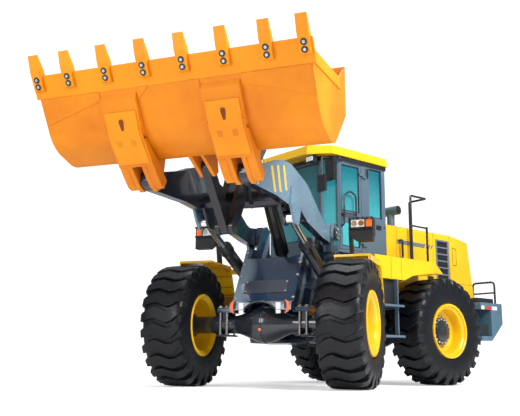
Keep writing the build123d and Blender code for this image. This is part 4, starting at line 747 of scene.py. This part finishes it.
# Hood: stripe, seams, handle outline, vent square, panes of the louvres
SKIN, DECK_SIDE = 0.7195, 1.1995
HANDLE = [(-2.67, 2.19), (-2.775, 2.18), (-2.77, 1.90), (-2.68, 1.90)]
LOUVRE_Z, LOUVRE_STEP = 1.945, 0.11
stripes = [slab([(-1.285, 2.115), (-1.285, 2.18), (-1.985, 2.178), (-1.945, 2.110)], SKIN, SKIN + 0.003)]
for x in (-1.975, -2.035, -2.095):
    slash = [(x, 2.110), (x - 0.04, 2.178), (x - 0.07, 2.178), (x - 0.03, 2.110)]
    stripes.append(slab(slash, SKIN, SKIN + 0.003))
piece("hood_stripes", mirrored(*stripes), STRIPE_GREY, "root", REAR)
hood_seams = [(-1.271, 1.81, 2.395), (-2.171, 1.62, 2.395), (-2.603, 1.60, 2.39)]
seams = [slab(oblong(x - 0.003, x + 0.003, low, high), SKIN, SKIN + 0.002) for x, low, high in hood_seams]
seams.append(slab(oblong(-3.20, -2.60, 1.598, 1.604), SKIN, SKIN + 0.002))
for x in (-0.571, -0.791):
    seams.append(slab(oblong(x - 0.003, x + 0.003, 1.49, 1.795), DECK_SIDE, DECK_SIDE + 0.0025))
piece("panel_seams", mirrored(*seams), SEAM, "root", REAR)
for name, side in SIDES:
    loop = [(x, side * 0.722, z) for x, z in HANDLE]
    tube(f"hood_handle_{name}", loop, 0.006, SEAM, "root", REAR, 0.03, cyclic=True)
vent = block((-2.148, SKIN, 1.587), (-2.003, SKIN + 0.008, 1.675))
piece("vent_squares", mirrored(vent), BLACK, "root", REAR, bevel=0.003)
# a black sheet behind the slats: painted shade in the louvres' openings
louvre_shade_sheets = block((-2.585, 0.7025, 1.605), (-2.235, 0.7035, 2.285))
piece("louvre_shade_sheets", mirrored(louvre_shade_sheets), BLACK, "root", REAR)
slats = []
for k in range(6):
    for j in (-1, 0, 1):
        foot = LOUVRE_Z + (k - 2.5) * LOUVRE_STEP + j * 0.026
        slats.append(block((-2.54, 0.704, foot), (-2.28, 0.712, foot + 0.008)))
piece("louvre_slats", mirrored(*slats), DARK, "root", REAR)

# Counterweight: reflector strips, a black plate as painted shade in the side pocket, lamp boxes on top
WEIGHT_SIDE = 1.0595
for name, mat, spans in (
    ("white", WHITE, ((-2.985, -2.915), (-3.355, -3.21))),
    ("red", RED, ((-3.205, -3.065),)),
    ("amber", STRIPE_YELLOW, ((-3.0, -2.987),)),
):
    strips = [slab(oblong(near, far, 1.178, 1.236), WEIGHT_SIDE, WEIGHT_SIDE + 0.003) for near, far in spans]
    piece(f"weight_strips_{name}", mirrored(*strips), mat, "root", REAR)
# black plate: painted shade in the pocket on the counterweight's side
pocket_shade = block((-3.085, WEIGHT_SIDE, 0.755), (-2.91, WEIGHT_SIDE + 0.002, 0.925))
piece("weight_pocket_shades", mirrored(pocket_shade), BLACK, "root", REAR, bevel=0.001)
boxes = block((-3.42, 0.60, 1.2905), (-2.97, 0.96, 1.375))
piece("rear_lamp_boxes", mirrored(boxes), DARK, "root", REAR, bevel=0.01)
rear_lens = facing(oblong(0.64, 0.92, 1.305, 1.36), -3.424, -3.419)
piece("rear_lamp_lenses", mirrored(rear_lens), RED, "root", REAR, bevel=0.002)
pipe_ends = [rod((-1.65, y, 2.73), (-1.65, y + 0.002, 2.73), 0.066, 32) for y in (0.4605, 0.1975)]
piece("exhaust_ends", join(*pipe_ends), BLACK, "root", REAR, smooth=30)

# Looks of the CAD nodes
LOOKS = {
    "front_frame": STEEL_BLUE, "front_fenders": YELLOW, "work_lamps": DARK, "front_axle": AXLE_GREY,
    "rear_axle": AXLE_GREY, "lift_arms": ARM_SHADED, "rocker": BLACK, "link": BLACK, "bucket": ORANGE,
    "bucket_teeth": ORANGE_LIGHT, "tilt_barrel": BLACK, "tilt_rod": CHROME, "rear_frame": DARK,
    "engine": DARK, "transmission": DARK, "drive_shafts": DARK, "front_shaft": DARK, "hood": YELLOW,
    "counterweight": WEIGHT_BLUE, "decks": YELLOW, "side_tanks": DARK, "ladders": BLUE_GREY,
    "cab": BLUE_GREY, "cab_roof": YELLOW, "cab_glass": PANE, "console": DARK, "exhaust": BLUE_GREY,
    "guard_rails": BLACK, "steering_wheel": BLACK, "mirrors": BLACK, "roof_lamps": DARK,
    "rear_guards": BLACK, "louvres": STRIPE_GREY,
}
for side in ("left", "right"):
    LOOKS |= {f"lift_barrel_{side}": BLACK, f"lift_rod_{side}": CHROME, f"steer_barrel_{side}": BLACK}
    LOOKS |= {f"steer_rod_{side}": CHROME, f"door_{side}": BLUE_GREY, f"door_glass_{side}": PANE}
for name, look in LOOKS.items():
    ob = frame["nodes"][name]
    ob.data.materials.clear()
    ob.data.materials.append(look)
# painted light and shade: the outer faces of the arms get a lighter, lit copy of the arm paint, the other
# faces a darker, shaded copy
arms = frame["nodes"]["lift_arms"]
arms.data.materials.append(ARM_LIT_SIDE)
to_arms = ARMS.inverted() @ arms.matrix_world
for face in arms.data.polygons:
    face.material_index = int(abs((to_arms @ face.center).y) > ARM_FACE - 0.002)

# Stage: a plain pale floor that runs into the white background
floor_mat = Mat("floor")
floor_tone = floor_mat.mix(floor_mat.noise(0.8, 2), (0.93, 0.93, 0.93), (0.95, 0.95, 0.95))
floor_mat.set(Base_Color=floor_tone, Roughness=0.9)
floor_mat.set(Emission_Color=(1.0, 1.0, 1.0), Specular_IOR_Level=0.05)
away = floor_mat.add("ShaderNodeVectorMath", operation="LENGTH")
floor_mat.link(floor_mat.pos, away.inputs[0])
sight = floor_mat.add("ShaderNodeMath", operation="MULTIPLY")
floor_mat.link(floor_mat.span(away.outputs["Value"], 5, 14, 0.42, 1.4), sight.inputs[0])
floor_mat.link(floor_mat.add("ShaderNodeLightPath").outputs["Is Camera Ray"], sight.inputs[1])
floor_mat.set(Emission_Strength=sight.outputs[0])
floor_mesh = bpy.data.meshes.new("floor")
FLOOR_REACH = 140
floor_corners = [(x, y, 0) for x, y in oblong(-FLOOR_REACH, FLOOR_REACH, -FLOOR_REACH, FLOOR_REACH)]
floor_mesh.from_pydata(floor_corners, [], [(0, 1, 2, 3)])
floor_mesh.materials.append(floor_mat.m)
floor = bpy.data.objects.new("floor", floor_mesh)
bpy.context.scene.collection.objects.link(floor)
floor.location = (0, 0, -0.002)

world = bpy.data.worlds.new("world")
bpy.context.scene.world = world
world.use_nodes = True
nodes, links = world.node_tree.nodes, world.node_tree.links
nodes["Background"].inputs["Color"].default_value = (0.92, 0.96, 1.0, 1)
nodes["Background"].inputs["Strength"].default_value = 0.38
seen = nodes.new("ShaderNodeBackground")
seen.inputs["Color"].default_value = (1, 1, 1, 1)
seen.inputs["Strength"].default_value = 1.2
path = nodes.new("ShaderNodeLightPath")
mixer = nodes.new("ShaderNodeMixShader")
links.new(path.outputs["Is Camera Ray"], mixer.inputs["Fac"])
links.new(nodes["Background"].outputs[0], mixer.inputs[1])
links.new(seen.outputs[0], mixer.inputs[2])
links.new(mixer.outputs[0], nodes["World Output"].inputs["Surface"])


def softbox(name, place, aim, power, size):
    li = bpy.data.lights.new(name, "AREA")
    li.shape, li.size, li.size_y, li.energy = "RECTANGLE", size[0], size[1], power
    ob = bpy.data.objects.new(name, li)
    bpy.context.scene.collection.objects.link(ob)
    ob.location = REAR @ Vector(place)
    ob.rotation_euler = (REAR @ Vector(aim) - ob.location).to_track_quat("-Z", "Y").to_euler()


softbox("key", (0.5, 9.0, 7.0), (0, 0, 1.5), 1250, (5, 5))
softbox("front", (10.0, 3.0, 4.0), (2, 0, 1.8), 260, (3, 4))
softbox("top", (0.5, 0.0, 10.0), (0.5, 0, 0), 380, (8, 6))

# Camera fitted to the photograph
EYE_PLACE = (7.476, 8.0542, 0.3182)
cam = bpy.data.cameras.new("camera")
cam.lens, cam.sensor_width, cam.clip_end = 51.12, 36, 400
eye = bpy.data.objects.new("camera", cam)
bpy.context.scene.collection.objects.link(eye)
yaw, pitch, roll = radians(230.59), radians(11.76), radians(0.46)
look = Vector((cos(pitch) * cos(yaw), cos(pitch) * sin(yaw), sin(pitch)))
right = look.cross(Vector((0, 0, 1))).normalized()
up = right.cross(look)
side_v = right * cos(roll) + up * sin(roll)
up_v = up * cos(roll) - right * sin(roll)
turn = Matrix((side_v, up_v, -look)).transposed().to_4x4()
eye.matrix_world = REAR @ at(*EYE_PLACE) @ turn
bpy.context.scene.camera = eye
bpy.context.scene.view_settings.view_transform = "Standard"
